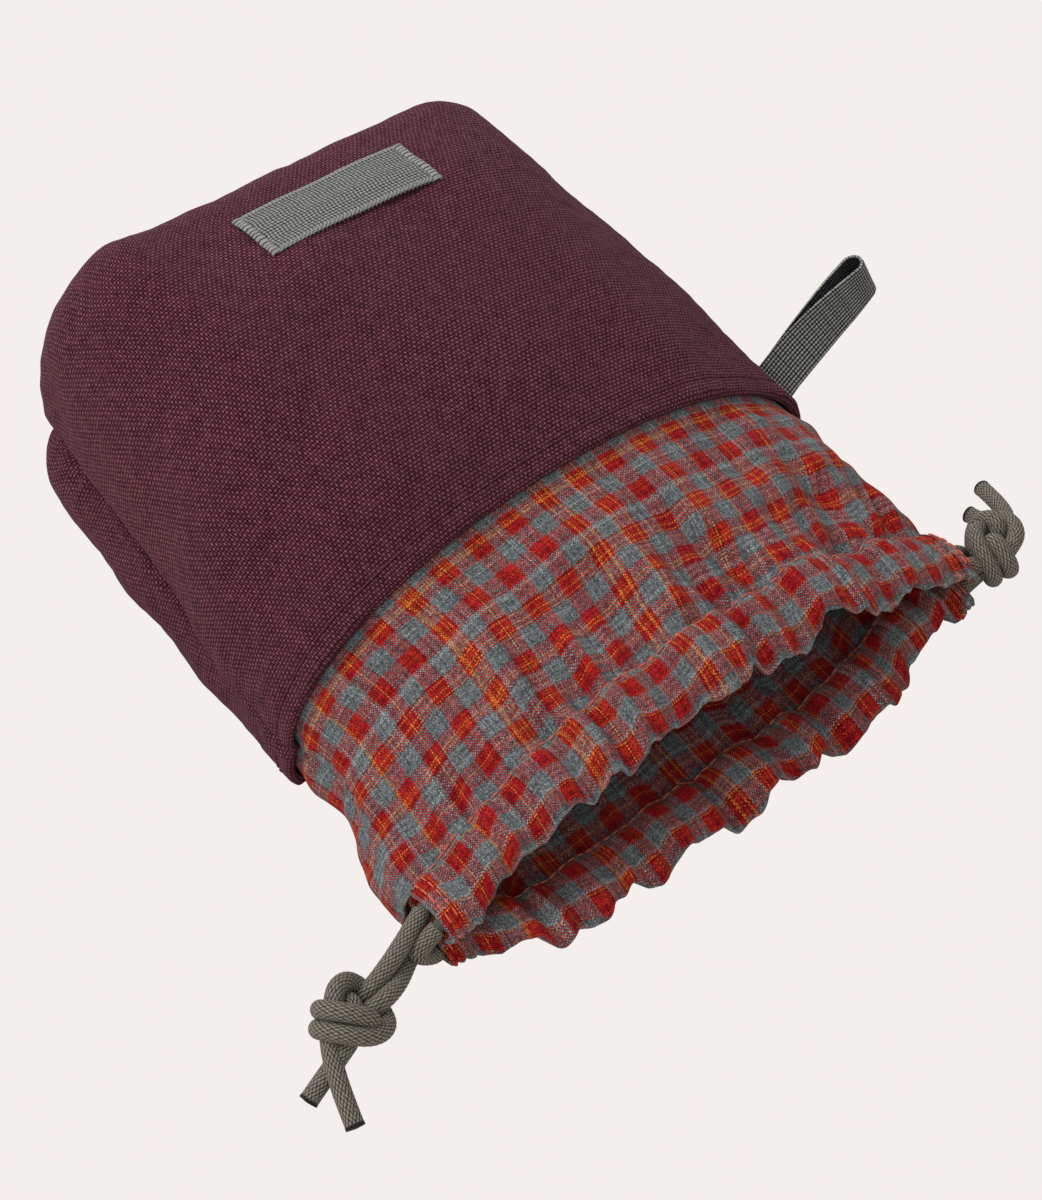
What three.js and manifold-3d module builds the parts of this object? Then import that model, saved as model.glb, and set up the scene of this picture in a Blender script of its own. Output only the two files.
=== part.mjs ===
// A filled pantry storage bag lying on its back panel with its mouth open.
// The body is two canvas panels over a checked lining. The checked skirt comes out of the canvas hem
// and ends in a casing at the mouth. Two drawcords run through the casing, one knotted on each side.
// +X is the bag's width, -Y is the way the mouth faces, and +Z is up. Sizes are in millimetres.
import * as THREE from "three";
import { mergeVertices } from "three/addons/utils/BufferGeometryUtils.js";
import Module from "manifold-3d";

const wasm = await Module();
wasm.setup();

// Where the bag's edges lie, measured from the middle of the patch it lies on.
const baseAt = 116;
const bodyLength = 131;
const skirtLength = 51;
const casingWidth = 18;
const lipReach = 13;
const lipCornerLeft = 26;
const lipCornerRight = 60;

// Widths and heights of the filled bag.
const baseWidth = 160;
const baseHeight = 77;
const baseRound = 16;
const crownHeight = 84;
const hemWidth = 180;
const hemHeight = 61;
const stitchHeight = 46;
const mouthWidth = 180;
const mouthHeight = 40;
const seamAtBase = 38;
const seamAtMouth = 13;

// Cloth.
const canvasThick = 1.2;
const liningThick = 0.8;
const hemDepth = 12;
const clothGap = 0.3;
const seamGap = 0.35;

// The casing at the mouth and the narrow hems at its ends.
const casingHeight = 7;
const casingWall = 0.8;
const endHemLength = 6;
const endHemExtra = 0.3;

// The drawcords.
const cordDiameter = 4.7;
const knotSqueeze = 0.94;
const laneLeft = 6;
const laneRight = 12;
const pieceGap = 0.3;

// The label and the hang loop.
const labelLength = 53;
const labelWidth = 18;
const labelThick = 1.2;
const labelX = 6;
const labelFromBase = 35;
const labelTurn = -1.9;
const loopWidth = 12.5;
const loopThick = 0.9;
const loopReach = 50;
const loopFromHem = 16;
const loopOpening = 6.5;
const loopGap = 0.8;

const hemAt = baseAt - bodyLength;
const stitchAt = hemAt - skirtLength;
const mouthAt = stitchAt - casingWidth;

// Materials.
const canvas = { color: 0x5a3340, roughness: 0.95, metalness: 0 };
const check = { color: 0x9a4a44, roughness: 0.95, metalness: 0 };
const cord = { color: 0x6b665e, roughness: 0.9, metalness: 0 };
const tape = { color: 0x7f827e, roughness: 0.95, metalness: 0 };

const bag = new THREE.Group();
bag.name = "pantry_storage_bag";

function addPiece(name, geometry, finish) {
  const mesh = new THREE.Mesh(geometry, new THREE.MeshStandardMaterial(finish));
  mesh.name = name;
  bag.add(mesh);
  return mesh;
}

// Turns a list of corners and faces into a geometry whose faces point out.
function closedGeometry(points, faces) {
  let volume = 0;
  for (const [a, b, c] of faces) {
    volume += points[a].dot(new THREE.Vector3().crossVectors(points[b], points[c]));
  }
  const index = faces.flatMap(([a, b, c]) => (volume > 0 ? [a, b, c] : [a, c, b]));
  const geometry = new THREE.BufferGeometry().setFromPoints(points);
  geometry.setIndex(index);
  return geometry;
}

function toSolid(geometry) {
  const bare = geometry.clone();
  bare.deleteAttribute("normal");
  bare.deleteAttribute("uv");
  const merged = mergeVertices(bare);
  const vertProperties = new Float32Array(merged.attributes.position.array);
  const triVerts = new Uint32Array(merged.index.array);
  return new wasm.Manifold(new wasm.Mesh({ numProp: 3, vertProperties, triVerts }));
}

function toGeometry(solid) {
  const mesh = solid.getMesh();
  const geometry = new THREE.BufferGeometry();
  geometry.setAttribute("position", new THREE.Float32BufferAttribute(mesh.vertProperties, 3));
  geometry.setIndex([...mesh.triVerts]);
  return geometry;
}

// The bag's outline at a few places along its length, from the base to the mouth.
// half and top are the half width and the height, shift is how far its middle lies to the right, seam is
// the height of the side seam and tuck is how far the seam is drawn in. lean is how far the top leans to
// the left, and side and crown say how full the upper half is.
const places = [
  [baseAt, baseWidth / 2, baseHeight, 0, seamAtBase, 6, 2.5, 4.5, 3],
  [baseAt - 45, 83, crownHeight, 0, 30, 5, 2.5, 2.8, 2.6],
  [baseAt - 92, 87, 76, 0.5, 19, 3, 2, 2.5, 2.2],
  [hemAt, hemWidth / 2, hemHeight, 2, 15, 1, 1, 2.2, 1.8],
  [hemAt - 18, 89.5, 55, 3, 14, 2, 0.5, 2.2, 1.6],
  [stitchAt, mouthWidth / 2 + 2, stitchHeight, -1.5, 13, 1, 0, 2, 1.2],
  [mouthAt, mouthWidth / 2, mouthHeight, 0, seamAtMouth, 0, 0, 2, 1.15],
];
const outline = places.map(([at, half, top, shift, seam, tuck, lean, side, crown]) => {
  return { at, half, top, shift, seam, tuck, lean, side, crown };
});

// A smooth value between the outline's places.
function outlineAt(y, key) {
  const last = outline.length - 1;
  let k = 0;
  while (k < last - 1 && y < outline[k + 1].at) k += 1;
  const slope = (i) => {
    const a = outline[Math.max(i - 1, 0)];
    const b = outline[Math.min(i + 1, last)];
    return (b[key] - a[key]) / (b.at - a.at);
  };
  const from = outline[k];
  const to = outline[k + 1];
  const span = to.at - from.at;
  const t = THREE.MathUtils.clamp((y - from.at) / span, 0, 1);
  const bend = (t ** 3 - 2 * t ** 2 + t) * slope(k) + (t ** 3 - t ** 2) * slope(k + 1);
  return THREE.MathUtils.lerp(from[key], to[key], t * t * (3 - 2 * t)) + bend * span;
}

const lowerSide = 6;
const lowerCrown = 4.5;
const floorPress = 6;
const tuckHeight = 7;

// The filling has gathered in the left corner of the base, so the front panel stands up there.
const swellX = -53;
const swellWide = 15;
const swellHigh = 6.5;
const swellFrom = 20;
const swellTo = 100;

function swellAt(x, y) {
  const share = THREE.MathUtils.smoothstep(y, swellFrom, swellTo);
  return swellHigh * share * Math.exp(-(((x - swellX) / swellWide) ** 2));
}

// A point of the bag's skin. turn runs from the left seam over the top to the right seam and back
// underneath, y is the place along the bag, and inset is the depth below the outer face.
function skin(turn, y, inset) {
  const across = Math.cos(turn);
  const upper = Math.sin(turn) >= 0;
  const rise = Math.abs(Math.sin(turn));
  const side = upper ? outlineAt(y, "side") : lowerSide;
  const crown = upper ? outlineAt(y, "crown") : lowerCrown;
  const seam = outlineAt(y, "seam");
  const reach = Math.abs(across) ** (2 / side) * (outlineAt(y, "half") - inset);
  const lift = rise ** (2 / crown);
  const high = seam + (outlineAt(y, "top") - inset - seam) * lift;
  const low = Math.max(inset, seam - (seam + floorPress - inset) * lift);
  const z = upper ? high : low;
  const tuck = outlineAt(y, "tuck") * Math.exp(-(((z - seam) / tuckHeight) ** 2));
  const shift = outlineAt(y, "shift") - (upper ? outlineAt(y, "lean") * lift : 0);
  const x = shift - Math.sign(across) * Math.max(reach - tuck, 0);
  return new THREE.Vector3(x, y, upper ? z + swellAt(x, y) * lift : z);
}

// The turn at which the upper skin passes over x.
function turnOver(x, y) {
  const fromMiddle = x - outlineAt(y, "shift") + outlineAt(y, "lean");
  const share = Math.abs(fromMiddle) / outlineAt(y, "half");
  return Math.acos(-Math.sign(fromMiddle) * share ** (outlineAt(y, "side") / 2));
}

const ringPoints = 48;

function ring(y, inset) {
  const points = [];
  for (let i = 0; i < ringPoints; i += 1) {
    points.push(skin((2 * Math.PI * i) / ringPoints, y, inset));
  }
  return points;
}

// A closed solid through rings of as many points, with a flat cap on both ends.
function solidOfRings(rings) {
  const points = rings.flat();
  const count = rings[0].length;
  const faces = [];
  for (let j = 0; j + 1 < rings.length; j += 1) {
    for (let i = 0; i < count; i += 1) {
      const a = j * count + i;
      const b = j * count + ((i + 1) % count);
      faces.push([a, b, b + count], [a, b + count, a + count]);
    }
  }
  [0, rings.length - 1].forEach((j) => {
    const middle = new THREE.Vector3();
    rings[j].forEach((p) => middle.addScaledVector(p, 1 / count));
    const hub = points.push(middle) - 1;
    for (let i = 0; i < count; i += 1) {
      const a = j * count + i;
      const b = j * count + ((i + 1) % count);
      faces.push(j === 0 ? [hub, b, a] : [hub, a, b]);
    }
  });
  return toSolid(closedGeometry(points, faces));
}

// The filled shape of the body at a depth below the outer face, from y = from to the base.
function bodySolid(from, inset) {
  const rings = [];
  const straightEnd = baseAt - baseRound;
  const straightSteps = 9;
  for (let i = 0; i < straightSteps; i += 1) {
    rings.push(ring(THREE.MathUtils.lerp(from, straightEnd, i / straightSteps), inset));
  }
  const roundSteps = 5;
  for (let i = 0; i <= roundSteps; i += 1) {
    const turn = (Math.PI / 2) * (i / roundSteps);
    const depth = inset + (baseRound - inset) * (1 - Math.cos(turn));
    rings.push(ring(straightEnd + (baseRound - inset) * Math.sin(turn), depth));
  }
  return solidOfRings(rings);
}

// A short band of the body, such as a turned hem.
function bandSolid(from, to, inset) {
  return solidOfRings([from, (from + to) / 2, to].map((y) => ring(y, inset)));
}

// Everything above the side seam, or below it, as one block to cut panels with.
function seamBlock(above) {
  const reach = 300;
  const far = above ? reach : -reach;
  const shift = above ? seamGap / 2 : -seamGap / 2;
  const shape = new THREE.Shape();
  shape.moveTo(-reach, far);
  shape.lineTo(-reach, seamAtMouth + shift);
  for (let y = mouthAt; y <= baseAt; y += 12) {
    shape.lineTo(y, outlineAt(y, "seam") + shift);
  }
  shape.lineTo(reach, seamAtBase + shift);
  shape.lineTo(reach, far);
  const block = new THREE.ExtrudeGeometry(shape, { depth: 2 * reach, bevelEnabled: false });
  block.translate(0, 0, -reach);
  block.applyMatrix4(new THREE.Matrix4().set(0, 0, 1, 0, 1, 0, 0, 0, 0, 1, 0, 0, 0, 0, 0, 1));
  return toSolid(block);
}

const aboveSeam = seamBlock(true);
const belowSeam = seamBlock(false);
const liningInset = canvasThick + clothGap;
const skirtInset = 2 * canvasThick + 3 * clothGap;

// The canvas body, with its top edge turned in under itself.
const past = 1;
const canvasShell = bodySolid(hemAt, 0).subtract(bodySolid(hemAt - past, canvasThick));
const turnedIn = bandSolid(hemAt, hemAt + hemDepth, liningInset).subtract(
  bandSolid(hemAt - past, hemAt + hemDepth + past, liningInset + canvasThick),
);
const fold = bandSolid(hemAt, hemAt + canvasThick, 0).subtract(
  bandSolid(hemAt - past, hemAt + canvasThick + past, liningInset + canvasThick),
);
const canvasBody = canvasShell.add(turnedIn).add(fold);
addPiece("canvas_front", toGeometry(canvasBody.intersect(aboveSeam)), canvas);
addPiece("canvas_back", toGeometry(canvasBody.intersect(belowSeam)), canvas);

// The checked lining inside the canvas.
const liningFrom = hemAt + hemDepth + clothGap;
const liningBody = bodySolid(liningFrom, liningInset).subtract(
  bodySolid(liningFrom - past, liningInset + liningThick),
);
addPiece("lining_front", toGeometry(liningBody.intersect(aboveSeam)), check);
addPiece("lining_back", toGeometry(liningBody.intersect(belowSeam)), check);

// A closed slab between two grids of points. face(u, v) gives its outer point and back(u, v) its inner.
function slab(face, back, across, along) {
  const points = [];
  const faces = [];
  const row = along + 1;
  const layer = (across + 1) * row;
  [face, back].forEach((surface) => {
    for (let i = 0; i <= across; i += 1) {
      for (let j = 0; j <= along; j += 1) {
        points.push(surface(i / across, j / along));
      }
    }
  });
  for (let i = 0; i < across; i += 1) {
    for (let j = 0; j < along; j += 1) {
      const a = i * row + j;
      const b = a + row;
      faces.push([a, b, b + 1], [a, b + 1, a + 1]);
      faces.push([layer + a, layer + b + 1, layer + b], [layer + a, layer + a + 1, layer + b + 1]);
    }
  }
  const close = (a, b) => faces.push([a, layer + b, b], [a, layer + a, layer + b]);
  for (let i = 0; i < across; i += 1) {
    close(i * row, (i + 1) * row);
    close((i + 1) * row + along, i * row + along);
  }
  for (let j = 0; j < along; j += 1) {
    close(j + 1, j);
    close(across * row + j, across * row + j + 1);
  }
  return closedGeometry(points, faces);
}

// The skirt leaves from under the turned hem and rises to the skin at the casing.
const skirtSurface = 0.4;
const skirtSettle = 30;
const skirtTuckUnder = 9;
const skirtSteps = 7;
const skirtFrom = hemAt + skirtTuckUnder;

function skirtDepth(y) {
  const share = THREE.MathUtils.smoothstep(hemAt - y, 0, skirtSettle);
  return THREE.MathUtils.lerp(skirtInset, skirtSurface, share);
}

// How far the lower half reaches past the upper one at x and y.
function lip(x, y) {
  const share = THREE.MathUtils.smoothstep(hemAt - y, 0, skirtLength);
  const corner = x < 0 ? lipCornerLeft : lipCornerRight;
  return lipReach * share * THREE.MathUtils.smoothstep(mouthWidth / 2 - Math.abs(x), 0, corner);
}

function skirtPoint(turn, v, depth) {
  const y = THREE.MathUtils.lerp(skirtFrom, stitchAt + clothGap + endHemExtra, v);
  const p = skin(turn, y, skirtDepth(y) + depth);
  const upper = Math.sin(turn) > 0;
  p.z += upper ? seamGap / 2 : -seamGap / 2;
  p.z = Math.max(p.z, depth);
  p.y -= upper ? 0 : lip(p.x, y);
  return p;
}

// A panel over half a turn. Its first and last turns are moved a hair to its own side of the seam.
function skirtPanel(startTurn) {
  const hair = 1e-6;
  const turnAt = (u) => startTurn + THREE.MathUtils.lerp(hair, Math.PI - hair, u);
  const surface = (depth) => (u, v) => skirtPoint(turnAt(u), v, depth);
  return slab(surface(0), surface(liningThick), ringPoints / 2, skirtSteps);
}

addPiece("skirt_front", skirtPanel(0), check);
addPiece("skirt_back", skirtPanel(Math.PI), check);

// The casing's section: f runs from the stitch line to the mouth edge, h is the height off its middle.
const casingSection = [
  [0, 0.16], [0.09, 0.7], [0.21, 0.97], [0.5, 1], [0.77, 0.97], [0.93, 0.66],
  [1, 0], [0.93, -0.66], [0.77, -0.97], [0.5, -1], [0.21, -0.97], [0.09, -0.7], [0, -0.16],
].map(([f, h]) => [f * casingWidth, (h * casingHeight) / 2]);

// The same section, grown outward by a margin or drawn in by a negative one.
function sectionOffset(margin) {
  const middle = casingWidth / 2;
  return casingSection.map(([f, h]) => [
    middle + (f - middle) * (1 + margin / middle),
    h * (1 + (2 * margin) / casingHeight),
  ]);
}

// The middle of the casing at x and at a distance f from the stitch line.
const casingMiddleDepth = 1.1;
const casingEnd = mouthWidth / 2;
const casingStop = casingEnd - endHemLength;

function casingMiddle(front, x, f) {
  const y = stitchAt - f;
  if (front) {
    const turn = Math.acos(THREE.MathUtils.clamp((-2 * x) / mouthWidth, -1, 1));
    return new THREE.Vector3(x, y, skin(turn, Math.max(y, mouthAt), casingMiddleDepth).z);
  }
  return new THREE.Vector3(x, y - lip(x, stitchAt), casingHeight / 2 + endHemExtra);
}

// The casing is taller where it slopes, so that a cord still passes there.
const tallest = 1.36;

function casingPoint(front, x, f, h) {
  const near = 2;
  const a = casingMiddle(front, Math.max(x - near, -casingEnd), f);
  const b = casingMiddle(front, Math.min(x + near, casingEnd), f);
  const p = casingMiddle(front, x, f);
  p.z += h * Math.min(Math.hypot(1, (b.z - a.z) / (b.x - a.x)), tallest);
  return p;
}

// A closed sleeve from x = from to x = to, with its channel open at both ends.
function sleeve(front, from, to, steps, outer, inner) {
  const points = [];
  const faces = [];
  const count = outer.length;
  for (let k = 0; k <= steps; k += 1) {
    const x = THREE.MathUtils.lerp(from, to, k / steps);
    outer.forEach(([f, h]) => points.push(casingPoint(front, x, f, h)));
    inner.forEach(([f, h]) => points.push(casingPoint(front, x, f, h)));
  }
  const stride = 2 * count;
  for (let i = 0; i < count; i += 1) {
    const n = (i + 1) % count;
    for (let k = 0; k < steps; k += 1) {
      const a = k * stride;
      const b = a + stride;
      faces.push([a + i, b + n, b + i], [a + i, a + n, b + n]);
      faces.push([a + count + i, b + count + i, b + count + n]);
      faces.push([a + count + i, b + count + n, a + count + n]);
    }
    const end = steps * stride;
    faces.push([i, count + i, count + n], [i, count + n, n]);
    faces.push([end + i, end + count + n, end + count + i], [end + i, end + n, end + count + n]);
  }
  return closedGeometry(points, faces);
}

const channel = sectionOffset(-casingWall);
const endHemOutside = sectionOffset(endHemExtra);
for (const [side, front] of [["front", true], ["back", false]]) {
  const panel = sleeve(front, -casingStop, casingStop, 26, casingSection, channel);
  addPiece(`casing_${side}`, panel, check);
  const leftEnd = sleeve(front, -casingEnd, -casingStop - clothGap, 2, endHemOutside, channel);
  addPiece(`casing_end_left_${side}`, leftEnd, check);
  const rightEnd = sleeve(front, casingStop + clothGap, casingEnd, 2, endHemOutside, channel);
  addPiece(`casing_end_right_${side}`, rightEnd, check);
}

// Points at an even spacing along a smooth curve through the given points.
function evenly(points, spacing) {
  const curve = new THREE.CatmullRomCurve3(points, false, "centripetal");
  curve.arcLengthDivisions = 400;
  return curve.getSpacedPoints(Math.round(curve.getLength() / spacing));
}

// A loose overhand knot: a trefoil opened at its outer side, with a leg on each end.
function looseOverhand(size) {
  const at = (x, y, z) => new THREE.Vector3(x, y, z).multiplyScalar(size);
  const opening = 0.3;
  const steps = 40;
  const points = [at(4.4, 6, 0.4), at(4.4, 3.5, 0.4), at(4.2, 1.6, 0.5), at(3.4, 0.75, 0.6)];
  for (let i = 0; i <= steps; i += 1) {
    const turn = opening + ((2 * Math.PI - 2 * opening) * i) / steps;
    const radius = 2 + Math.cos(3 * turn);
    points.push(at(radius * Math.cos(2 * turn), radius * Math.sin(2 * turn), Math.sin(3 * turn)));
  }
  points.push(at(3.4, -0.75, -0.6), at(4.2, -1.6, -0.5), at(4.4, -3.5, -0.4), at(4.4, -6, -0.4));
  return points;
}

// Draws the slack out of two cords laid side by side through a loose overhand knot, while no two
// stretches come closer than a cord's width. Gives both centre lines, with the knot's middle at the
// origin, the cords coming in along +X and the knot's loops towards +Y.
const knotSpacing = 2;
const knotSize = 6;
const knotRounds = 1600;
const nextTo = 5;

function overhandKnot() {
  const apart = knotSqueeze * cordDiameter + clothGap;
  const centre = evenly(looseOverhand(knotSize), knotSpacing);
  let strands = [-1, 1].map((side) => {
    const moved = centre.map((p, i) => {
      const before = centre[Math.max(i - 1, 0)];
      const after = centre[Math.min(i + 1, centre.length - 1)];
      const across = new THREE.Vector3(after.y - before.y, before.x - after.x, 0).normalize();
      return across.multiplyScalar(side * apart * 0.55).add(p);
    });
    return evenly(moved, knotSpacing);
  });
  const ends = strands.map((s) => [s[0].clone(), s[s.length - 1].clone()]);
  const push = new THREE.Vector3();
  const separate = (times) => {
    for (let k = 0; k < times; k += 1) {
      for (const [a, b] of [[0, 0], [0, 1], [1, 1]]) {
        strands[a].forEach((p, i) => {
          for (let j = a === b ? i + nextTo : 0; j < strands[b].length; j += 1) {
            const q = strands[b][j];
            const length = push.subVectors(q, p).length();
            if (length < apart) {
              push.multiplyScalar((apart - length) / length / 2);
              p.sub(push);
              q.add(push);
            }
          }
        });
      }
      strands.forEach((s, n) => {
        s[0].copy(ends[n][0]);
        s[s.length - 1].copy(ends[n][1]);
      });
    }
  };
  const shorten = (s) => s.map((p, i) => {
    if (i === 0 || i === s.length - 1) return p.clone();
    return s[i - 1].clone().add(s[i + 1]).multiplyScalar(0.25).addScaledVector(p, 0.5);
  });
  for (let k = 0; k < knotRounds; k += 1) {
    strands = strands.map((s) => evenly(shorten(s), knotSpacing));
    separate(4);
  }
  separate(40);
  const reach = 1.9 * knotSize;
  const core = strands.flat().filter((p) => Math.abs(p.y) < reach);
  const middle = new THREE.Box3().setFromPoints(core).getCenter(new THREE.Vector3());
  return strands.map((s) => {
    const local = s.map((p) => new THREE.Vector3(-p.y, p.x - middle.x, p.z - middle.z));
    const first = local.findIndex((p) => p.x > -reach);
    const last = local.length - 1 - [...local].reverse().findIndex((p) => p.x < reach);
    return local.slice(first, last + 1);
  });
}

const knot = overhandKnot();

// The knot at its place, turned about the upright and rolled about its own length. leaveOff is how many
// points of the straight ends coming into it are left off.
function placedKnot(place, turn, roll, leaveOff) {
  const move = new THREE.Matrix4().makeRotationZ(THREE.MathUtils.degToRad(turn)).setPosition(place);
  move.multiply(new THREE.Matrix4().makeRotationX(THREE.MathUtils.degToRad(roll)));
  return knot.map((strand) => strand.slice(leaveOff).map((p) => p.clone().applyMatrix4(move)));
}

// A stretch of a longer curve, between two distances along it.
class Stretch extends THREE.Curve {
  constructor(whole, from, to) {
    super();
    this.whole = whole;
    this.from = from / whole.getLength();
    this.to = to / whole.getLength();
  }

  getPoint(t, target = new THREE.Vector3()) {
    const share = THREE.MathUtils.lerp(this.from, this.to, t);
    return this.whole.getPointAt(THREE.MathUtils.clamp(share, 0, 1), target);
  }
}

const cordSides = 8;

function cordPiece(curve, from, to, step, diameter) {
  const section = new THREE.Shape(
    Array.from({ length: cordSides }, (_, i) => {
      const turn = (2 * Math.PI * i) / cordSides;
      return new THREE.Vector2(Math.cos(turn), Math.sin(turn)).multiplyScalar(diameter / 2);
    }),
  );
  const steps = Math.max(2, Math.round((to - from) / step));
  const extrudePath = new Stretch(curve, from, to);
  return new THREE.ExtrudeGeometry(section, { steps, extrudePath, bevelEnabled: false });
}

// Where a cord is held in the casing, as shares of its half length, and how far it runs straight out of
// the casing before it turns back.
const casingPosts = [1, 0.968, 0.935, 0.87, 0.78, 0.63, 0.44, 0.22];
const casingLead = 1.4;

// One drawcord from tail tip to tail tip: through its knot, in by the front casing, round the far gap,
// out by the back casing and through the knot again. side is -1 for the cord knotted on the left.
function drawcord(name, side, lane, knotStrands, route) {
  const posts = [...casingPosts, 0, ...casingPosts.map((share) => -share).reverse()];
  const front = posts.map((share) => casingMiddle(true, side * share * casingEnd, lane));
  const back = posts.map((share) => casingMiddle(false, -side * share * casingEnd, lane));
  const far = front[front.length - 1];
  const near = back[0];
  const turnRadius = (far.z - near.z) / 2;
  const lead = side * casingLead;
  const bend = new THREE.Vector3(far.x - lead - side * turnRadius, far.y, (far.z + near.z) / 2);
  const upper = new THREE.Vector3(far.x - lead, far.y, far.z - casingLead / 2);
  const lower = new THREE.Vector3(near.x - lead, near.y, near.z - casingLead / 4);
  const stretches = [
    ["tail_front", [...route.tailFront].reverse(), 8],
    ["knot_front", [...knotStrands[1]].reverse(), 2.5],
    ["strand_front", [...route.strandFront].reverse(), 6],
    ["run", [...front, upper, bend, lower, ...back], 9],
    ["strand_back", route.strandBack, 6],
    ["knot_back", knotStrands[0], 2.5],
    ["tail_back", route.tailBack, 8],
  ];
  const curve = new THREE.CatmullRomCurve3(stretches.flatMap((s) => s[1]), false, "centripetal");
  const parts = 24;
  const spans = curve.points.length - 1;
  curve.arcLengthDivisions = spans * parts;
  const lengths = curve.getLengths();
  let at = 0;
  stretches.forEach(([label, points, step], k) => {
    const first = ownsEnds(label) ? at : at - 1;
    at += points.length;
    const last = ownsEnds(label) ? at - 1 : at;
    const from = k === 0 ? 0 : lengths[first * parts] + pieceGap / 2;
    const to = k === stretches.length - 1 ? curve.getLength() : lengths[last * parts] - pieceGap / 2;
    const diameter = label.startsWith("knot") ? knotSqueeze * cordDiameter : cordDiameter;
    addPiece(`${name}_${label}`, cordPiece(curve, from, to, step, diameter), cord);
  });
}

// The knots and the run through the casing end at their own last points; the rest reaches up to them.
function ownsEnds(label) {
  return label === "run" || label.startsWith("knot");
}

const v = (x, y, z) => new THREE.Vector3(x, y, z);
const leftKnot = placedKnot(v(-118.5, -83.8, 9.6), 196, 0, 0);
const rightKnot = placedKnot(v(101.9, -77.4, 10), 21, -90, 2);
drawcord("left_cord", -1, laneLeft, leftKnot, {
  tailFront: [v(-130.8, -92.6, 8.6), v(-132.6, -96, 5.5), v(-133.4, -99.5, 3.2), v(-134, -103, 2.6)],
  strandFront: [v(-93.5, -72.3, 12.4), v(-97.5, -74.4, 11.6), v(-103, -78.3, 10.8)],
  strandBack: [v(-93.5, -72, 3.8), v(-98, -73.5, 4), v(-101, -79, 4.8), v(-103.3, -83.2, 7.5)],
  tailBack: [v(-131.4, -88, 5.4), v(-134.5, -89.3, 3.4), v(-138.5, -90.5, 2.6)],
});
drawcord("right_cord", 1, laneRight, rightKnot, {
  tailFront: [v(113.4, -71.4, 4.6), v(114.3, -67.6, 3.3), v(114.2, -63.2, 2.7), v(113.6, -59, 2.6)],
  strandFront: [v(92.8, -78.6, 12.2)],
  strandBack: [v(93.2, -78.9, 5.3)],
  tailBack: [v(114.4, -74.6, 10.6), v(117.6, -71, 8.8), v(120.9, -63, 5.2), v(123.8, -54.5, 2.8)],
});

// The woven label, sewn to the front panel near the base.
const labelCentreY = baseAt - labelFromBase;

function labelSurface(lift) {
  const turn = THREE.MathUtils.degToRad(labelTurn);
  return (u, w) => {
    const a = (u - 0.5) * labelLength;
    const b = (w - 0.5) * labelWidth;
    const x = labelX + a * Math.cos(turn) - b * Math.sin(turn);
    const y = labelCentreY + a * Math.sin(turn) + b * Math.cos(turn);
    const pastStraight = Math.max(y - baseAt + baseRound, 0);
    const depth = baseRound - Math.sqrt(Math.max(baseRound ** 2 - pastStraight ** 2, 0));
    return skin(turnOver(x, y), y, depth - lift);
  };
}

addPiece("label", slab(labelSurface(clothGap + labelThick), labelSurface(clothGap), 10, 5), tape);

// The hang loop: a tape sewn into the right side seam, folded back on itself and twisted on the way out.
const loopRoot = v(0.75, 0, 0.66);
const loopAlong = v(0.92, 0.15, 0.35).normalize();
const loopTwist = 78;
const loopTwistEase = 0.7;
const loopFootY = hemAt + loopFromHem;
const loopRootHalf = (loopThick + clothGap) / 2;

function loopSurface(offset) {
  const foot = skin(Math.PI, loopFootY, 0);
  foot.x = Math.max(foot.x, skin(Math.PI, loopFootY - loopWidth / 2, 0).x) + loopGap;
  const tipRadius = loopOpening / 2;
  return (u, w) => {
    const legs = 0.42;
    const straight = loopReach - tipRadius;
    let along = straight;
    let rise = 0;
    let out = 0;
    let slope = 0;
    if (u < legs || u > 1 - legs) {
      const t = (u < legs ? u : 1 - u) / legs;
      along = straight * t;
      rise = THREE.MathUtils.lerp(loopRootHalf, tipRadius, THREE.MathUtils.smoothstep(t, 0, 1)) + offset;
      rise *= u < legs ? 1 : -1;
    } else {
      slope = ((u - legs) / (1 - 2 * legs)) * Math.PI;
      out = (tipRadius + offset) * Math.sin(slope);
      rise = (tipRadius + offset) * Math.cos(slope);
    }
    const share = THREE.MathUtils.clamp(along / straight, 0, 1);
    const twist = THREE.MathUtils.degToRad(loopTwist) * share ** loopTwistEase;
    const side = v(0, 1, 0).addScaledVector(loopAlong, -loopAlong.y * share).normalize();
    const up = new THREE.Vector3().crossVectors(loopAlong, side).normalize();
    side.applyAxisAngle(loopAlong, twist);
    up.applyAxisAngle(loopAlong, twist);
    const lead = loopRoot.clone().lerp(loopAlong, share);
    const p = foot.clone().addScaledVector(lead, along + out);
    return p.addScaledVector(up, rise).addScaledVector(side, (w - 0.5) * loopWidth);
  };
}

addPiece("hang_loop", slab(loopSurface(loopThick / 2), loopSurface(-loopThick / 2), 30, 2), tape);

export default bag;
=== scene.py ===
import math

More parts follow.
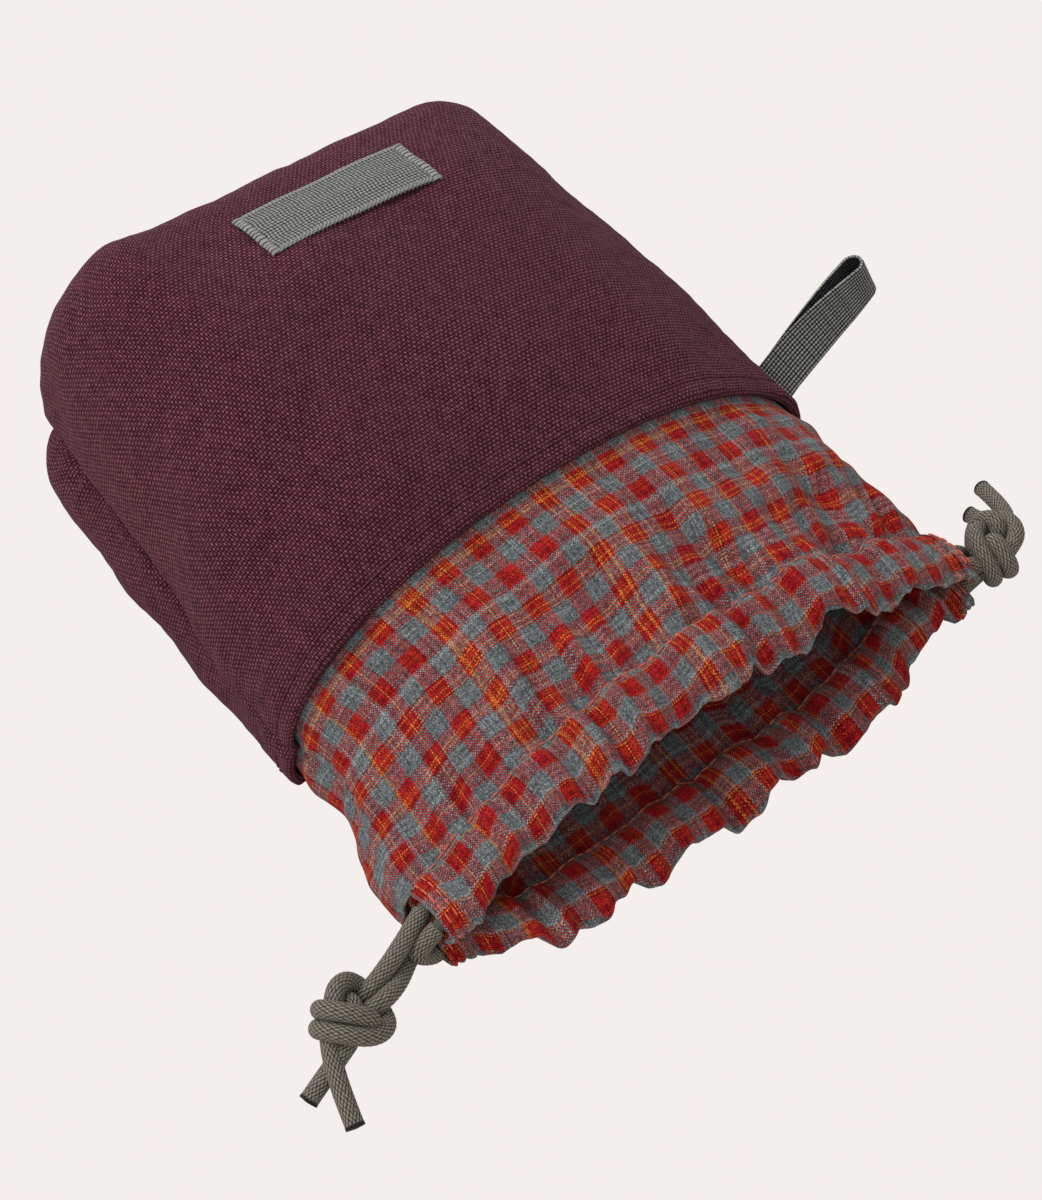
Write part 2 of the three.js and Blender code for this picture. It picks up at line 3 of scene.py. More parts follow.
import bpy
import numpy as np
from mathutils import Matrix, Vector


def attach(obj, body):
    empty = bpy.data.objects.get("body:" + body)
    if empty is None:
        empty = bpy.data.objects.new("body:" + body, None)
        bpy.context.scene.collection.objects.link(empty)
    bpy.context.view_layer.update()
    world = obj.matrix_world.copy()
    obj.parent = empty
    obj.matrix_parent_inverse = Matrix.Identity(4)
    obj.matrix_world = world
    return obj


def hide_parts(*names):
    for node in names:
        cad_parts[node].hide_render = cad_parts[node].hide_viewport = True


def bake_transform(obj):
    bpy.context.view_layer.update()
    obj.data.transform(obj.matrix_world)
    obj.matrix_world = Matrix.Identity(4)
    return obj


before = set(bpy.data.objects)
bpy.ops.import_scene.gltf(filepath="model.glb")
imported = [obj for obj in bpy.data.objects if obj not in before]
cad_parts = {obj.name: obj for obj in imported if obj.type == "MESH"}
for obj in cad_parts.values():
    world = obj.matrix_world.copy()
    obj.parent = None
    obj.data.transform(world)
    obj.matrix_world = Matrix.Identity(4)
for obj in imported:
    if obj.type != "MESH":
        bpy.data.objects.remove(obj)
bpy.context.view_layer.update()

mm = 0.001  # lengths below are in millimetres until a mesh is made
print("frame loaded")

# The camera stands where the photograph was taken from
view = {"azimuth": -40.03, "elevation": 48.05, "distance": 0.64905, "field": 27.0014,
        "target": (-0.01209, -0.01577, 0.01996)}


def deselectAll():
    if bpy.context.object and bpy.context.object.mode != "OBJECT":
        bpy.ops.object.mode_set(mode="OBJECT")
    bpy.ops.object.select_all(action="DESELECT")


def addCamera():
    a, e = math.radians(view["azimuth"]), math.radians(view["elevation"])
    back = Vector((math.sin(a) * math.cos(e), -math.cos(a) * math.cos(e), math.sin(e)))
    deselectAll()
    bpy.ops.object.camera_add(location=Vector(view["target"]) + back * view["distance"])
    camera = bpy.context.object
    camera.rotation_euler = (-back).to_track_quat("-Z", "Y").to_euler()
    camera.data.sensor_width = 36
    camera.data.lens = 18 / math.tan(math.radians(view["field"] / 2))
    bpy.context.scene.camera = camera


addCamera()


# Materials
def linear(hexColour):
    parts = [int(hexColour[i:i + 2], 16) / 255 for i in (1, 3, 5)]
    return tuple(c / 12.92 if c < 0.04045 else ((c + 0.055) / 1.055) ** 2.4 for c in parts) + (1,)


def addNode(material, kind, inputs=None, ramp=None, **settings):
    node = material.node_tree.nodes.new("ShaderNode" + kind)
    for key, value in settings.items():
        setattr(node, key, value)
    for key, value in (inputs or {}).items():
        if isinstance(value, bpy.types.Node):
            value = value.outputs[0]
        if isinstance(value, bpy.types.NodeSocket):
            material.node_tree.links.new(value, node.inputs[key])
        else:
            node.inputs[key].default_value = value
    if ramp:
        stops = node.color_ramp.elements
        while len(stops) < len(ramp):
            stops.new(1)
        for stop, (place, colour) in zip(stops, ramp):
            stop.position = place
            stop.color = linear(colour)
    return node


def newMaterial(name, roughness, sheen):
    material = bpy.data.materials.new(name)
    material.use_nodes = True
    shader = material.node_tree.nodes["Principled BSDF"]
    shader.inputs["Roughness"].default_value = roughness
    shader.inputs["Specular IOR Level"].default_value = 0.12  # yarns scatter nearly all light
    shader.inputs["Sheen Weight"].default_value = sheen
    shader.inputs["Sheen Roughness"].default_value = 0.5
    return material, shader


def makePlain(name, colour, roughness):
    material, shader = newMaterial(name, roughness, 0.0)
    shader.inputs["Base Color"].default_value = linear(colour)
    return material, shader


# Feeds the colour and the bumps into the shader
def dress(material, shader, colour, height, strength, distance):
    bump = addNode(material, "Bump", {"Strength": strength, "Distance": distance, "Height": height})
    material.node_tree.links.new(colour, shader.inputs["Base Color"])
    material.node_tree.links.new(bump.outputs[0], shader.inputs["Normal"])


# A plain weave from two sets of yarns: where the warp lies on top, and how high the top yarn
# stands. A ridge is how sharply a yarn falls off across its width and along its length. The
# yarns wander a little, and change course about every 2.4 mm
def addWeave(material, finish):
    ridge, wander = finish["ridge"], finish["wander"]
    uv = addNode(material, "UVMap")
    drift = addNode(material, "TexNoise", {"Vector": uv, "Scale": 420.0, "Detail": 1.0})
    bent = addNode(material, "VectorMath",
                   {0: drift.outputs["Color"], 1: (wander, wander, 0), 2: uv},
                   operation="MULTIPLY_ADD")
    split = addNode(material, "SeparateXYZ", {0: bent})
    weave = {}
    for k, letter in enumerate("UV"):
        place, apart = split.outputs[k], finish["pitch"][k]
        turn = addNode(material, "Math", {0: place, 1: math.pi / apart}, operation="MULTIPLY")
        sine = addNode(material, "Math", {0: turn}, operation="SINE")
        tall = addNode(material, "Math", {0: sine}, operation="ABSOLUTE")
        across = addNode(material, "Math", {0: tall, 1: ridge[0]}, operation="POWER")
        along = addNode(material, "Math", {0: tall, 1: ridge[1]}, operation="POWER")
        count = addNode(material, "Math", {0: place, 1: apart}, operation="DIVIDE")
        yarn = addNode(material, "Math", {0: count}, operation="FLOOR")
        weave |= {"sine" + letter: sine, "across" + letter: across, "along" + letter: along,
                  "place" + letter: place, "yarn" + letter: yarn}
    sign = addNode(material, "Math", {0: weave["sineU"], 1: weave["sineV"]}, operation="MULTIPLY")
    warpTop = addNode(material, "Math", {0: sign, 1: 0.0}, operation="GREATER_THAN")
    warp = addNode(material, "Math", {0: weave["acrossU"], 1: weave["alongV"]},
                   operation="MULTIPLY")
    weft = addNode(material, "Math", {0: weave["acrossV"], 1: weave["alongU"]},
                   operation="MULTIPLY")
    lower = addNode(material, "Math", {0: weft, 1: finish["weftLow"]}, operation="MULTIPLY")
    height = addNode(material, "Mix", {0: warpTop, 2: lower, 3: warp})
    cell = addNode(material, "CombineXYZ", {0: weave["yarnU"], 1: weave["yarnV"]})
    return weave | {"warpTop": warpTop, "height": height, "cell": cell}


# Heavy cotton canvas, yarn dyed and plainly woven from thick yarns: matt, with painted shade in
# the holes between yarns and a painted highlight on the yarn tops, single yarns that stand out,
# and large patches that are a little darker
canvasFinish = {"pitch": (0.61 * mm, 1.04 * mm), "ridge": (0.7, 0.4), "weftLow": 0.64,
                "wander": 0.55 * mm, "speck": 0.2, "slub": 0.3, "level": 0.72, "patch": 0.3,
                "gap": "#12040a", "body": "#64303b", "top": "#975e69", "tint": "#451c2d",
                "roughness": 0.92, "sheen": 0.02, "bump": 0.9, "relief": 0.36 * mm}


def makeCanvas():
    finish = canvasFinish
    material, shader = newMaterial("cottonCanvas", finish["roughness"], finish["sheen"])
    weave = addWeave(material, finish)
    speck = addNode(material, "TexWhiteNoise", {"Vector": weave["cell"]}, noise_dimensions="2D")
    slub = addNode(material, "TexNoise", {"Vector": weave["cell"], "Scale": 0.21, "Detail": 3.0})
    uneven = addNode(material, "Math",
                     {0: speck, 1: finish["speck"], 2: weave["height"]}, operation="MULTIPLY_ADD")
    height = addNode(material, "Math", {0: slub, 1: finish["slub"], 2: uneven},
                     operation="MULTIPLY_ADD")
    # painted shade and highlight: the weave's height picks the gap colour where yarns dip and the
    # top colour on their crests; speck and slub are the yarns' own tone
    toneShadeAndHighlight = addNode(material, "Math", {0: height, 1: finish["level"]}, operation="MULTIPLY")
    colour = addNode(material, "ValToRGB", {0: toneShadeAndHighlight},
                     ramp=[(0.32, finish["gap"]), (0.6, finish["body"]), (0.9, finish["top"])])
    place = addNode(material, "TexCoord").outputs["Object"]
    patch = addNode(material, "TexNoise", {"Vector": place, "Scale": 24.0, "Detail": 2.0})
    share = addNode(material, "Math", {0: patch, 1: finish["patch"]}, operation="MULTIPLY")
    worn = addNode(material, "Mix", {0: share, 6: colour, 7: linear(finish["tint"])},
                   data_type="RGBA")
    dress(material, shader, worn.outputs[2], height, finish["bump"], finish["relief"])
    return material


# Yarn-dyed cotton check: red stripes with some gold yarns cross heathered grey ones, so the
# mixed squares look mauve. The real yarns are about 0.3 mm apart; they are drawn a little coarser
checkFinish = {"pitch": (0.375 * mm, 0.375 * mm), "ridge": (0.6, 0.3), "weftLow": 0.92,
               "wander": 0.35 * mm, "repeat": 10.5 * mm, "heather": 0.8, "shade": 0.45,
               "roughness": 0.9, "sheen": 0.02, "bump": 0.6, "relief": 0.1 * mm,
               "reds": [(0.0, "#8e0f18"), (0.36, "#a81a22"), (0.5, "#bc3020"), (0.58, "#cf7a2e"),
                        (0.61, "#b62a20"), (0.67, "#d6862f"), (0.7, "#bb3823")],
               "greys": [(0.0, "#62686b"), (0.4, "#747b7e"), (0.56, "#858b8d"),
                         (0.74, "#9da2a2")]}


def makeCheck():
    finish = checkFinish
    material, shader = newMaterial("wovenCheckCotton", finish["roughness"], finish["sheen"])
    weave = addWeave(material, finish)
    dyed = []
    for letter, start in (("U", 3.7), ("V", 9.1)):  # each set of yarns has shades of its own
        yarn = addNode(material, "Math", {0: weave["yarn" + letter], 1: start}, operation="ADD")
        each = addNode(material, "TexWhiteNoise", {"W": yarn}, noise_dimensions="1D")
        drift = addNode(material, "TexNoise", {"W": yarn, "Scale": 0.19, "Detail": 1.0},
                        noise_dimensions="1D")
        soft = addNode(material, "Math", {0: drift, 1: 0.5}, operation="MULTIPLY")
        level = addNode(material, "Math", {0: each, 1: 0.5, 2: soft}, operation="MULTIPLY_ADD")
        red = addNode(material, "ValToRGB", {0: level}, ramp=finish["reds"])
        grey = addNode(material, "ValToRGB", {0: level}, ramp=finish["greys"])
        red.color_ramp.interpolation = grey.color_ramp.interpolation = "CONSTANT"
        count = addNode(material, "Math",
                        {0: weave["place" + letter], 1: finish["repeat"]}, operation="DIVIDE")
        share = addNode(material, "Math", {0: count}, operation="FRACT")
        isGrey = addNode(material, "Math", {0: share, 1: 0.5}, operation="GREATER_THAN")
        stripe = addNode(material, "Mix", {0: isGrey, 6: red, 7: grey}, data_type="RGBA")
        dyed.append(stripe.outputs[2])
    top = addNode(material, "Mix", {0: weave["warpTop"], 6: dyed[1], 7: dyed[0]}, data_type="RGBA")
    speck = addNode(material, "TexWhiteNoise", {"Vector": weave["cell"]}, noise_dimensions="2D")
    heather = addNode(material, "Math", {0: speck, 1: finish["heather"]}, operation="MULTIPLY")
    # painted shade where the yarns dip and painted highlight on their crests; heather is each yarn
    # cell's own tone
    light = addNode(material, "Math",
                    {0: weave["height"], 1: finish["shade"], 2: heather}, operation="MULTIPLY_ADD")
    value = addNode(material, "Math", {0: light, 1: 0.1}, operation="ADD")
    colour = addNode(material, "HueSaturation", {"Value": value, "Color": top.outputs[2]})
    dress(material, shader, colour.outputs[0], weave["height"], finish["bump"], finish["relief"])
    return material


# Braided polyester cord and woven cotton tape: matt yarns, with painted shade where they dip under
# each other and a painted highlight on their tops. Their braid or weave is in the mesh, whose
# relief attribute paints that shade and highlight into the colour; grain is the fibre
cordFinish = {"gap": "#1c1a18", "body": "#58554e", "top": "#8c877b", "roughness": 0.75,
              "grain": 4200}
tapeFinish = {"gap": "#07080a", "body": "#555858", "top": "#989a95", "roughness": 0.9,
              "grain": 3600}


def makeRelief(name, finish):
    material, shader = newMaterial(name, finish["roughness"], 0.05)
    relief = addNode(material, "Attribute", attribute_name="relief")
    uv = addNode(material, "UVMap")
    fibre = addNode(material, "TexNoise", {"Vector": uv, "Scale": finish["grain"], "Detail": 3.0})
    level = addNode(material, "Math", {0: fibre, 1: 0.4, 2: relief.outputs["Fac"]},
                    operation="MULTIPLY_ADD")
    # painted shade in the dips and painted highlight on the yarn tops, taken from the mesh's relief
    colour = addNode(material, "ValToRGB", {0: level},
                     ramp=[(0.38, finish["gap"]), (0.8, finish["body"]), (1.0, finish["top"])])
    dress(material, shader, colour.outputs[0], fibre, 0.5, 0.15 * mm)
    return material


canvasCloth = makeCanvas()
checkCloth = makeCheck()
braidedCord = makeRelief("braidedPolyesterCord", cordFinish)
wovenTape = makeRelief("wovenCottonTape", tapeFinish)
coralThread, _ = makePlain("polyesterThreadCoral", "#d96a55", 0.6)
plumThread, _ = makePlain("polyesterThreadPlum", "#5c303b", 0.6)
print("materials made")

# The bag's form, as its solids have it: y runs from the mouth to the base
bagForm = {"baseAt": 116, "hemAt": -15, "stitchAt": -66, "mouthAt": -84, "baseRound": 16,
           "mouthHalf": 90, "casingWidth": 18, "casingHeight": 7, "lipReach": 13,
           "lipCornerLeft": 26, "lipCornerRight": 60, "lowerSide": 6, "lowerCrown": 4.5,
           "floorPress": 6, "tuckHeight": 7}
outlineKeys = ("at", "half", "top", "shift", "seam", "tuck", "lean", "side", "crown")
outlinePlaces = np.array([
    (116, 80, 77, 0, 38, 6, 2.5, 4.5, 3),
    (71, 83, 84, 0, 30, 5, 2.5, 2.8, 2.6),
    (24, 87, 76, 0.5, 19, 3, 2, 2.5, 2.2),
    (-15, 90, 61, 2, 15, 1, 1, 2.2, 1.8),
    (-33, 89.5, 55, 3, 14, 2, 0.5, 2.2, 1.6),
    (-66, 92, 46, -1.5, 13, 1, 0, 2, 1.2),
    (-84, 90, 40, 0, 13, 0, 0, 2, 1.15),
], float)


def smoothStep(value, low, high):
    t = np.clip((value - low) / (high - low), 0, 1)
    return t * t * (3 - 2 * t)


# 1 at no distance, and fading out over the given width
def hump(distance, width):
    return np.exp(-((distance / width) ** 2))


# How far along a line each of its points lies
def lengthsAlong(line):
    return np.concatenate([[0], np.cumsum(np.linalg.norm(np.diff(line, axis=0), axis=1))])


def pointsAt(wanted, along, line):
    return np.stack([np.interp(wanted, along, line[:, k]) for k in range(3)], -1)


# One of the outline's measures at y, on a smooth curve through the places above
def outlineAt(y, key):
    at, value = outlinePlaces[:, 0], outlinePlaces[:, outlineKeys.index(key)]
    y = np.asarray(y, float)
    k = np.sum(y[..., None] < at[1:-1], axis=-1)
    before, after = np.maximum(k - 1, 0), np.minimum(k + 2, len(at) - 1)
    slopeA = (value[k + 1] - value[before]) / (at[k + 1] - at[before])
    slopeB = (value[after] - value[k]) / (at[after] - at[k])
    span = at[k + 1] - at[k]
    t = np.clip((y - at[k]) / span, 0, 1)
    bend = (t ** 3 - 2 * t ** 2 + t) * slopeA + (t ** 3 - t ** 2) * slopeB
    return value[k] + (value[k + 1] - value[k]) * t * t * (3 - 2 * t) + bend * span


# The front panel stands up in the corners of the base. The left side is a little flatter near the
# base than the right one, its seam lies lower there, and the cloth folds into a slit along it.
# Pairs are where along the bag a form grows or ends
cornerSwells = [{"x": -53, "wide": 15, "high": 6.5, "grows": (20, 100)},
                {"x": 64, "wide": 13, "high": 3.4, "grows": (60, 116)}]
leftSide = {"in": 3.2, "grows": (0, 60), "seamDown": 7.5, "seamSinks": (10, 110), "slit": 5.0,
            "slitHeight": 1.3, "slitOpens": (-70, -30), "slitDeepens": (5, 35),
            "slitEnds": (92, 108)}


def swellAt(x, y):
    total = 0 * x
    for swell in cornerSwells:
        share = smoothStep(y, *swell["grows"])
        total = total + swell["high"] * share * hump(x - swell["x"], swell["wide"])
    return total


def seamAt(across, y):
    sunk = leftSide["seamDown"] * smoothStep(y, *leftSide["seamSinks"])
    return outlineAt(y, "seam") - sunk * np.maximum(across, 0) ** 2


# A point of the skin: turn runs from the left seam over the top to the right one and back below
def skin(turn, y, inset):
    across, rise = np.cos(turn), np.abs(np.sin(turn))
    upper = np.sin(turn) >= 0
    seam = seamAt(across, y)
    side = np.where(upper, outlineAt(y, "side"), bagForm["lowerSide"])
    lift = rise ** (2 / np.where(upper, outlineAt(y, "crown"), bagForm["lowerCrown"]))
    reach = np.abs(across) ** (2 / side) * (outlineAt(y, "half") - inset)
    high = seam + (outlineAt(y, "top") - inset - seam) * lift
    low = np.maximum(inset, seam - (seam + bagForm["floorPress"] - inset) * lift)
    z = np.where(upper, high, low)
    tuck = outlineAt(y, "tuck") * hump(z - seam, bagForm["tuckHeight"])
    slit = leftSide["slit"] * (0.3 + 0.7 * smoothStep(y, *leftSide["slitDeepens"]))
    slit = slit * smoothStep(y, *leftSide["slitOpens"]) * (across > 0)
    slit = slit * (1 - smoothStep(y, *leftSide["slitEnds"]))
    tuck = tuck + slit * hump(z - seam, leftSide["slitHeight"])
    shift = outlineAt(y, "shift") - np.where(upper, outlineAt(y, "lean") * lift, 0)
    x = shift - np.sign(across) * np.maximum(reach - tuck, 0)
    flat = leftSide["in"] * smoothStep(y, *leftSide["grows"]) * np.maximum(across, 0) ** 2
    x = x + flat * np.where(upper, smoothStep(lift, 0, 0.3), 0)
    z = z + np.where(upper, swellAt(x, y) * lift, 0)
    return np.stack([x, y + 0 * x, z], -1)


# One row across a panel at even steps along the cloth, from the left seam to the right one
def panelRow(front, y, inset, shares):
    hair = 1e-6
    turns = np.linspace(hair, math.pi - hair, 1201) * (1 if front else -1)
    points = skin(turns, y, inset)
    along = lengthsAlong(points)
    return pointsAt(shares * along[-1], along, points)


def facing(points):
    across, along = np.gradient(points, axis=1), np.gradient(points, axis=0)
    normal = np.cross(across, along)
    return normal / np.maximum(np.linalg.norm(normal, axis=-1, keepdims=True), 1e-9)


# Uneven waves along a line, and soft dents over a surface, both the same on every run
def waves(s, parts, seed):
    pick = np.random.default_rng(seed)
    total = 0 * s
    for length, amount in parts:
        drift = 0.35 * length * np.sin(2 * np.pi * s / (length * 3.7) + pick.uniform(0, 6.3))
        total = total + amount * np.sin(2 * np.pi * (s + drift) / length + pick.uniform(0, 6.3))
    return total


def dents(a, b, size, seed):
    pick = np.random.default_rng(seed)
    total = 0 * a
    for k in range(7):
        turn, length = pick.uniform(0, np.pi), size * pick.uniform(0.7, 1.6)
        along = a * np.cos(turn) + b * np.sin(turn)
        total = total + np.sin(2 * np.pi * along / length + pick.uniform(0, 6.3))
    return total / 2.6


# A grid is added and its vertices are moved to the points; cloth gives its flat places
def meshFromGrid(name, points, cloth, material, thick=0.0, flip=False, closed=False, relief=None):
    rows, columns = points.shape[:2]
    deselectAll()
    bpy.ops.mesh.primitive_grid_add(x_subdivisions=columns - 1, y_subdivisions=rows - 1, size=1)
    piece = bpy.context.object
    piece.name = piece.data.name = name
    mesh = piece.data
    flat = np.empty(len(mesh.vertices) * 3)
    mesh.vertices.foreach_get("co", flat)
    flat = flat.reshape(-1, 3)
    j = np.rint((flat[:, 0] + 0.5) * (columns - 1)).astype(int)
    i = np.rint((flat[:, 1] + 0.5) * (rows - 1)).astype(int)
    mesh.vertices.foreach_set("co", (points[i, j] * mm).ravel())
    corner = np.empty(len(mesh.loops), int)
    mesh.loops.foreach_get("vertex_index", corner)
    mesh.uv_layers.active.data.foreach_set("uv", (cloth[i, j][corner] * mm).ravel())
    if relief is not None:
        # the relief attribute becomes painted shade in the yarns' dips and painted highlight on
        # their tops
        level = mesh.attributes.new("relief", "FLOAT", "POINT")
        level.data.foreach_set("value", relief[i, j].ravel())
    mesh.update()
    if flip:
        mesh.flip_normals()
    if closed:
        bpy.ops.object.mode_set(mode="EDIT")
        bpy.ops.mesh.select_all(action="SELECT")
        bpy.ops.mesh.remove_doubles(threshold=1e-6)
        bpy.ops.object.mode_set(mode="OBJECT")
    if thick:
        solid = piece.modifiers.new("clothThickness", "SOLIDIFY")
        solid.thickness = thick * mm
        solid.offset = -1
        bpy.ops.object.modifier_apply(modifier=solid.name)
    bpy.ops.object.shade_smooth_by_angle(angle=math.radians(60))
    mesh.materials.append(material)
    return piece


def finishPiece(piece, nodes=(), body=None, bend=None):
    if nodes:
        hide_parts(*nodes)
    if bend:
        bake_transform(piece)
    else:
        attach(piece, body)


# The canvas body: each panel runs from its turned-in hem over the edge and along the bag to the
# base seam. Dents are (depth, size, seed in front, seed at the back)
canvasPanel = {"thick": 1.1, "hemInside": 2.7, "hemDepth": 12, "stitchFromEdge": 5.5,
               "columns": 210, "straightRows": 84, "roundRows": 14, "capRows": 12,
               "flatWidth": 205, "baseSeam": 118, "baseBelly": 1.6, "seamEdge": 0.02,
               "dents": [(0.9, 46, 11, 12), (0.3, 21, 15, 15), (0.1, 8, 13, 13)],
               "ripple": 0.5, "seamGroove": 1.0, "baseGroove": 0.8, "grooveWide": 1.6,
               "stitchGroove": 0.4, "hemRipple": 0.2}


# Rows over the rounded edge of the base and in to its seam, as (y, inset, share of the way in)
def baseRows(inset, roundRows, capRows):
    start, radius = bagForm["baseAt"] - bagForm["baseRound"], bagForm["baseRound"] - inset
    rows = [(start + radius * math.sin(a), inset + radius * (1 - math.cos(a)), 0)
            for a in np.linspace(0, math.pi / 2, roundRows)[1:]]
    caps = np.linspace(0, 1, capRows)[1:]
    return rows + [(bagForm["baseAt"] - inset, bagForm["baseRound"], cap) for cap in caps]


def canvasRows():
    form, hem = canvasPanel, bagForm["hemAt"]
    half = form["hemInside"] / 2
    rows = [(y, 2 * half, 0) for y in np.linspace(hem + form["hemDepth"], hem + half + 1, 6)]
    for a in np.linspace(0, math.pi, 9):
        rows.append((hem + half - half * math.sin(a), half + half * math.cos(a), 0))
    end = bagForm["baseAt"] - bagForm["baseRound"]
    rows += [(y, 0, 0) for y in np.linspace(hem + half + 1, end, form["straightRows"])]
    return rows + baseRows(0, form["roundRows"], form["capRows"])


# A panel's points, each column's share of its width, and its flat cloth
def wrappedPanel(form, rows, front):
    shares = np.linspace(0, 1, form["columns"] + 1)
    points = []
    for y, inset, cap in rows:
        row = panelRow(front, y, inset, shares)
        seam = seamAt(np.clip(-row[:, 0] / 80, 0, 1), bagForm["baseAt"])
        seam = seam + form["seamEdge"] * (1 if front else -1)
        row[:, 2] += (seam - row[:, 2]) * cap
        row[:, 0] += ((shares - 0.5) * form["baseSeam"] - row[:, 0]) * cap ** 2
        belly = form["baseBelly"] * math.sin(math.pi * cap)
        row[:, 1] += belly * (1 - np.abs(2 * shares - 1) ** 6)
        points.append(row)
    points = np.array(points)
    along = lengthsAlong(points[:, form["columns"] // 2])
    return points, shares, *np.meshgrid((shares - 0.5) * form["flatWidth"], along)


def finishPanel(name, node, material, form, points, a, b, front):
    piece = meshFromGrid(name, points, np.stack([a, b], -1), material, form["thick"],
                         flip=not front)
    finishPiece(piece, [node], "bag")


def makeCanvasPanel(name, node, front):
    form, hem, base = canvasPanel, bagForm["hemAt"], bagForm["baseAt"]
    rows = canvasRows()
    points, shares, a, b = wrappedPanel(form, rows, front)
    y, inset, cap = (np.array(column)[:, None] for column in zip(*rows))
    outside = smoothStep(-inset, -1.2, -0.2) * (y < base - 25) + (y >= base - 25)
    fromSeam = (0.5 - np.abs(shares - 0.5))[None, :] * form["flatWidth"]
    fromBase = (1 - cap) * bagForm["baseRound"]
    push = 0 * a
    for depth, size, frontSeed, backSeed in form["dents"]:
        push += depth * dents(a, b, size, frontSeed if front else backSeed)
    puckers = waves(b, [(8.5, 1), (5.3, 0.5)], 21 if front else 22)
    push += form["ripple"] * np.exp(-fromSeam / 7) * puckers
    push *= (1 - hump(fromSeam, 2.5)) * (1 - hump(fromBase, form["grooveWide"]))
    push -= form["seamGroove"] * hump(fromSeam, form["grooveWide"]) * (shares > 0.5)
    push -= form["stitchGroove"] * hump(y - hem - form["stitchFromEdge"], 0.7)
    ripple = waves(points[:, :, 0], [(7.3, 1), (4.7, 0.6)], 31)
    push += form["hemRipple"] * smoothStep(-y, -hem - 9, -hem) * ripple
    push -= form["baseGroove"] * hump(fromBase, form["grooveWide"])
    push = np.where(y < hem + 14, np.clip(push, -0.5, 1.2), push)
    points = points + facing(points) * (1 if front else -1) * (push * outside)[:, :, None]
    points[:, :, 2] = np.maximum(points[:, :, 2], 0.02)
    finishPanel(name, node, canvasCloth, form, points, a, b, front)
    return points


canvasFrontPoints = makeCanvasPanel("canvasFront", "canvas_front", True)
canvasBackPoints = makeCanvasPanel("canvasBack", "canvas_back", False)
print("canvas panels made")

# The checked lining against the canvas, from the turned hem to the base
liningPanel = {"inset": 2.4, "thick": 0.6, "columns": 90, "rows": 40, "roundRows": 9,
               "capRows": 6, "flatWidth": 200, "fromHem": 0.3, "baseSeam": 110.8,
               "baseBelly": 0, "seamEdge": 0.3, "sag": 0.5}


def makeLining(name, node, front):
    form = liningPanel
    start = bagForm["hemAt"] + canvasPanel["hemDepth"] + form["fromHem"]
    end = bagForm["baseAt"] - bagForm["baseRound"]
    rows = [(y, form["inset"], 0) for y in np.linspace(start, end, form["rows"])]
    rows += baseRows(form["inset"], form["roundRows"], form["capRows"])
    points, _, a, b = wrappedPanel(form, rows, front)
    sag = form["sag"] * np.abs(dents(a, b, 22, 41))
    points += facing(points) * (-1 if front else 1) * sag[:, :, None]
    finishPanel(name, node, checkCloth, form, points, a, b, front)


makeLining("liningFront", "lining_front", True)
makeLining("liningBack", "lining_back", False)
print("lining made")

# The skirt: one panel at the front and one at the back, each cut at its middle into two halves.
# Its folds grow towards the stitched casing
skirtForm = {"from": -6, "to": -67.8, "insetAtHem": 3.3, "insetAtMouth": 0.4, "settle": 30,
             "thick": 0.6, "columns": 260, "rows": 60, "flatWidth": 199.5, "seamGap": 0.1,
             "puff": 0.35, "creases": 1.15, "dents": 0.75, "smallDents": 0.22,
             "stitchGroove": 0.5, "sideFold": 1.3, "seamRipple": 0.5, "seamGroove": 1.1}

# Folds as (distance between folds, height, how far they reach up the skirt, slant)
frontFolds = [(51, 1.3, 52, 0.3), (31, 1.4, 42, -0.45), (19, 1.25, 30, 0.4),
              (12.1, 0.85, 19, -0.3), (7.7, 0.4, 11, 0.2)]
backFolds = [(43, 0.9, 45, -0.2), (24, 1.5, 30, 0.3), (15.5, 1.7, 20, -0.3),
             (9.4, 0.8, 12, 0.2)]


# The lower lip of the mouth reaches further out than the upper one
def lip(x, y):
    share = smoothStep(bagForm["hemAt"] - y, 0, bagForm["hemAt"] - bagForm["stitchAt"])
    corner = np.where(x < 0, bagForm["lipCornerLeft"], bagForm["lipCornerRight"])
    return bagForm["lipReach"] * share * smoothStep(bagForm["mouthHalf"] - np.abs(x), 0 * x, corner)


# How far the cloth stands off its resting line at x, at a distance up the skirt from the stitch
# line. Skirt and casing share it, so the folds run through
def foldAt(x, distance, front):
    pick = np.random.default_rng(51 if front else 57)
    total = 0 * x + 0 * distance
    for length, high, reach, slant in frontFolds if front else backFolds:
        s = x + slant * distance
        s = s + 0.3 * length * np.sin(2 * np.pi * x / (length * 3.1) + pick.uniform(0, 6.3))
        wave = np.sin(2 * np.pi * s / length + pick.uniform(0, 6.3))
        total = total + high * hump(distance, reach) * wave
    pucker = np.sin(2 * np.pi * (x + 1.3 * np.sin(x / 3.1)) / 4.3) * (0.6 + 0.4 * np.sin(x / 7.7))
    total = total + 0.3 * pucker * hump(distance, 4)
    calm = smoothStep(bagForm["mouthHalf"] - np.abs(x), 0, 12)
    return calm * (total if front else np.maximum(0.75 * total + 1.6, -1.1))


# Sharp creases where the casing's stitches catch the cloth: place along the mouth, slant, depth,
# width, and how far each runs up the skirt and out over the casing
def sewnCreases(front):
    pick = np.random.default_rng(181 if front else 183)
    return [(place + pick.uniform(-2.4, 2.4), pick.uniform(-0.55, 0.55), pick.uniform(0.45, 1),
             pick.uniform(0.8, 1.5), pick.uniform(3, 17), pick.uniform(7, 22))
            for place in np.arange(-84, 85, 6.6 if front else 8.2)]


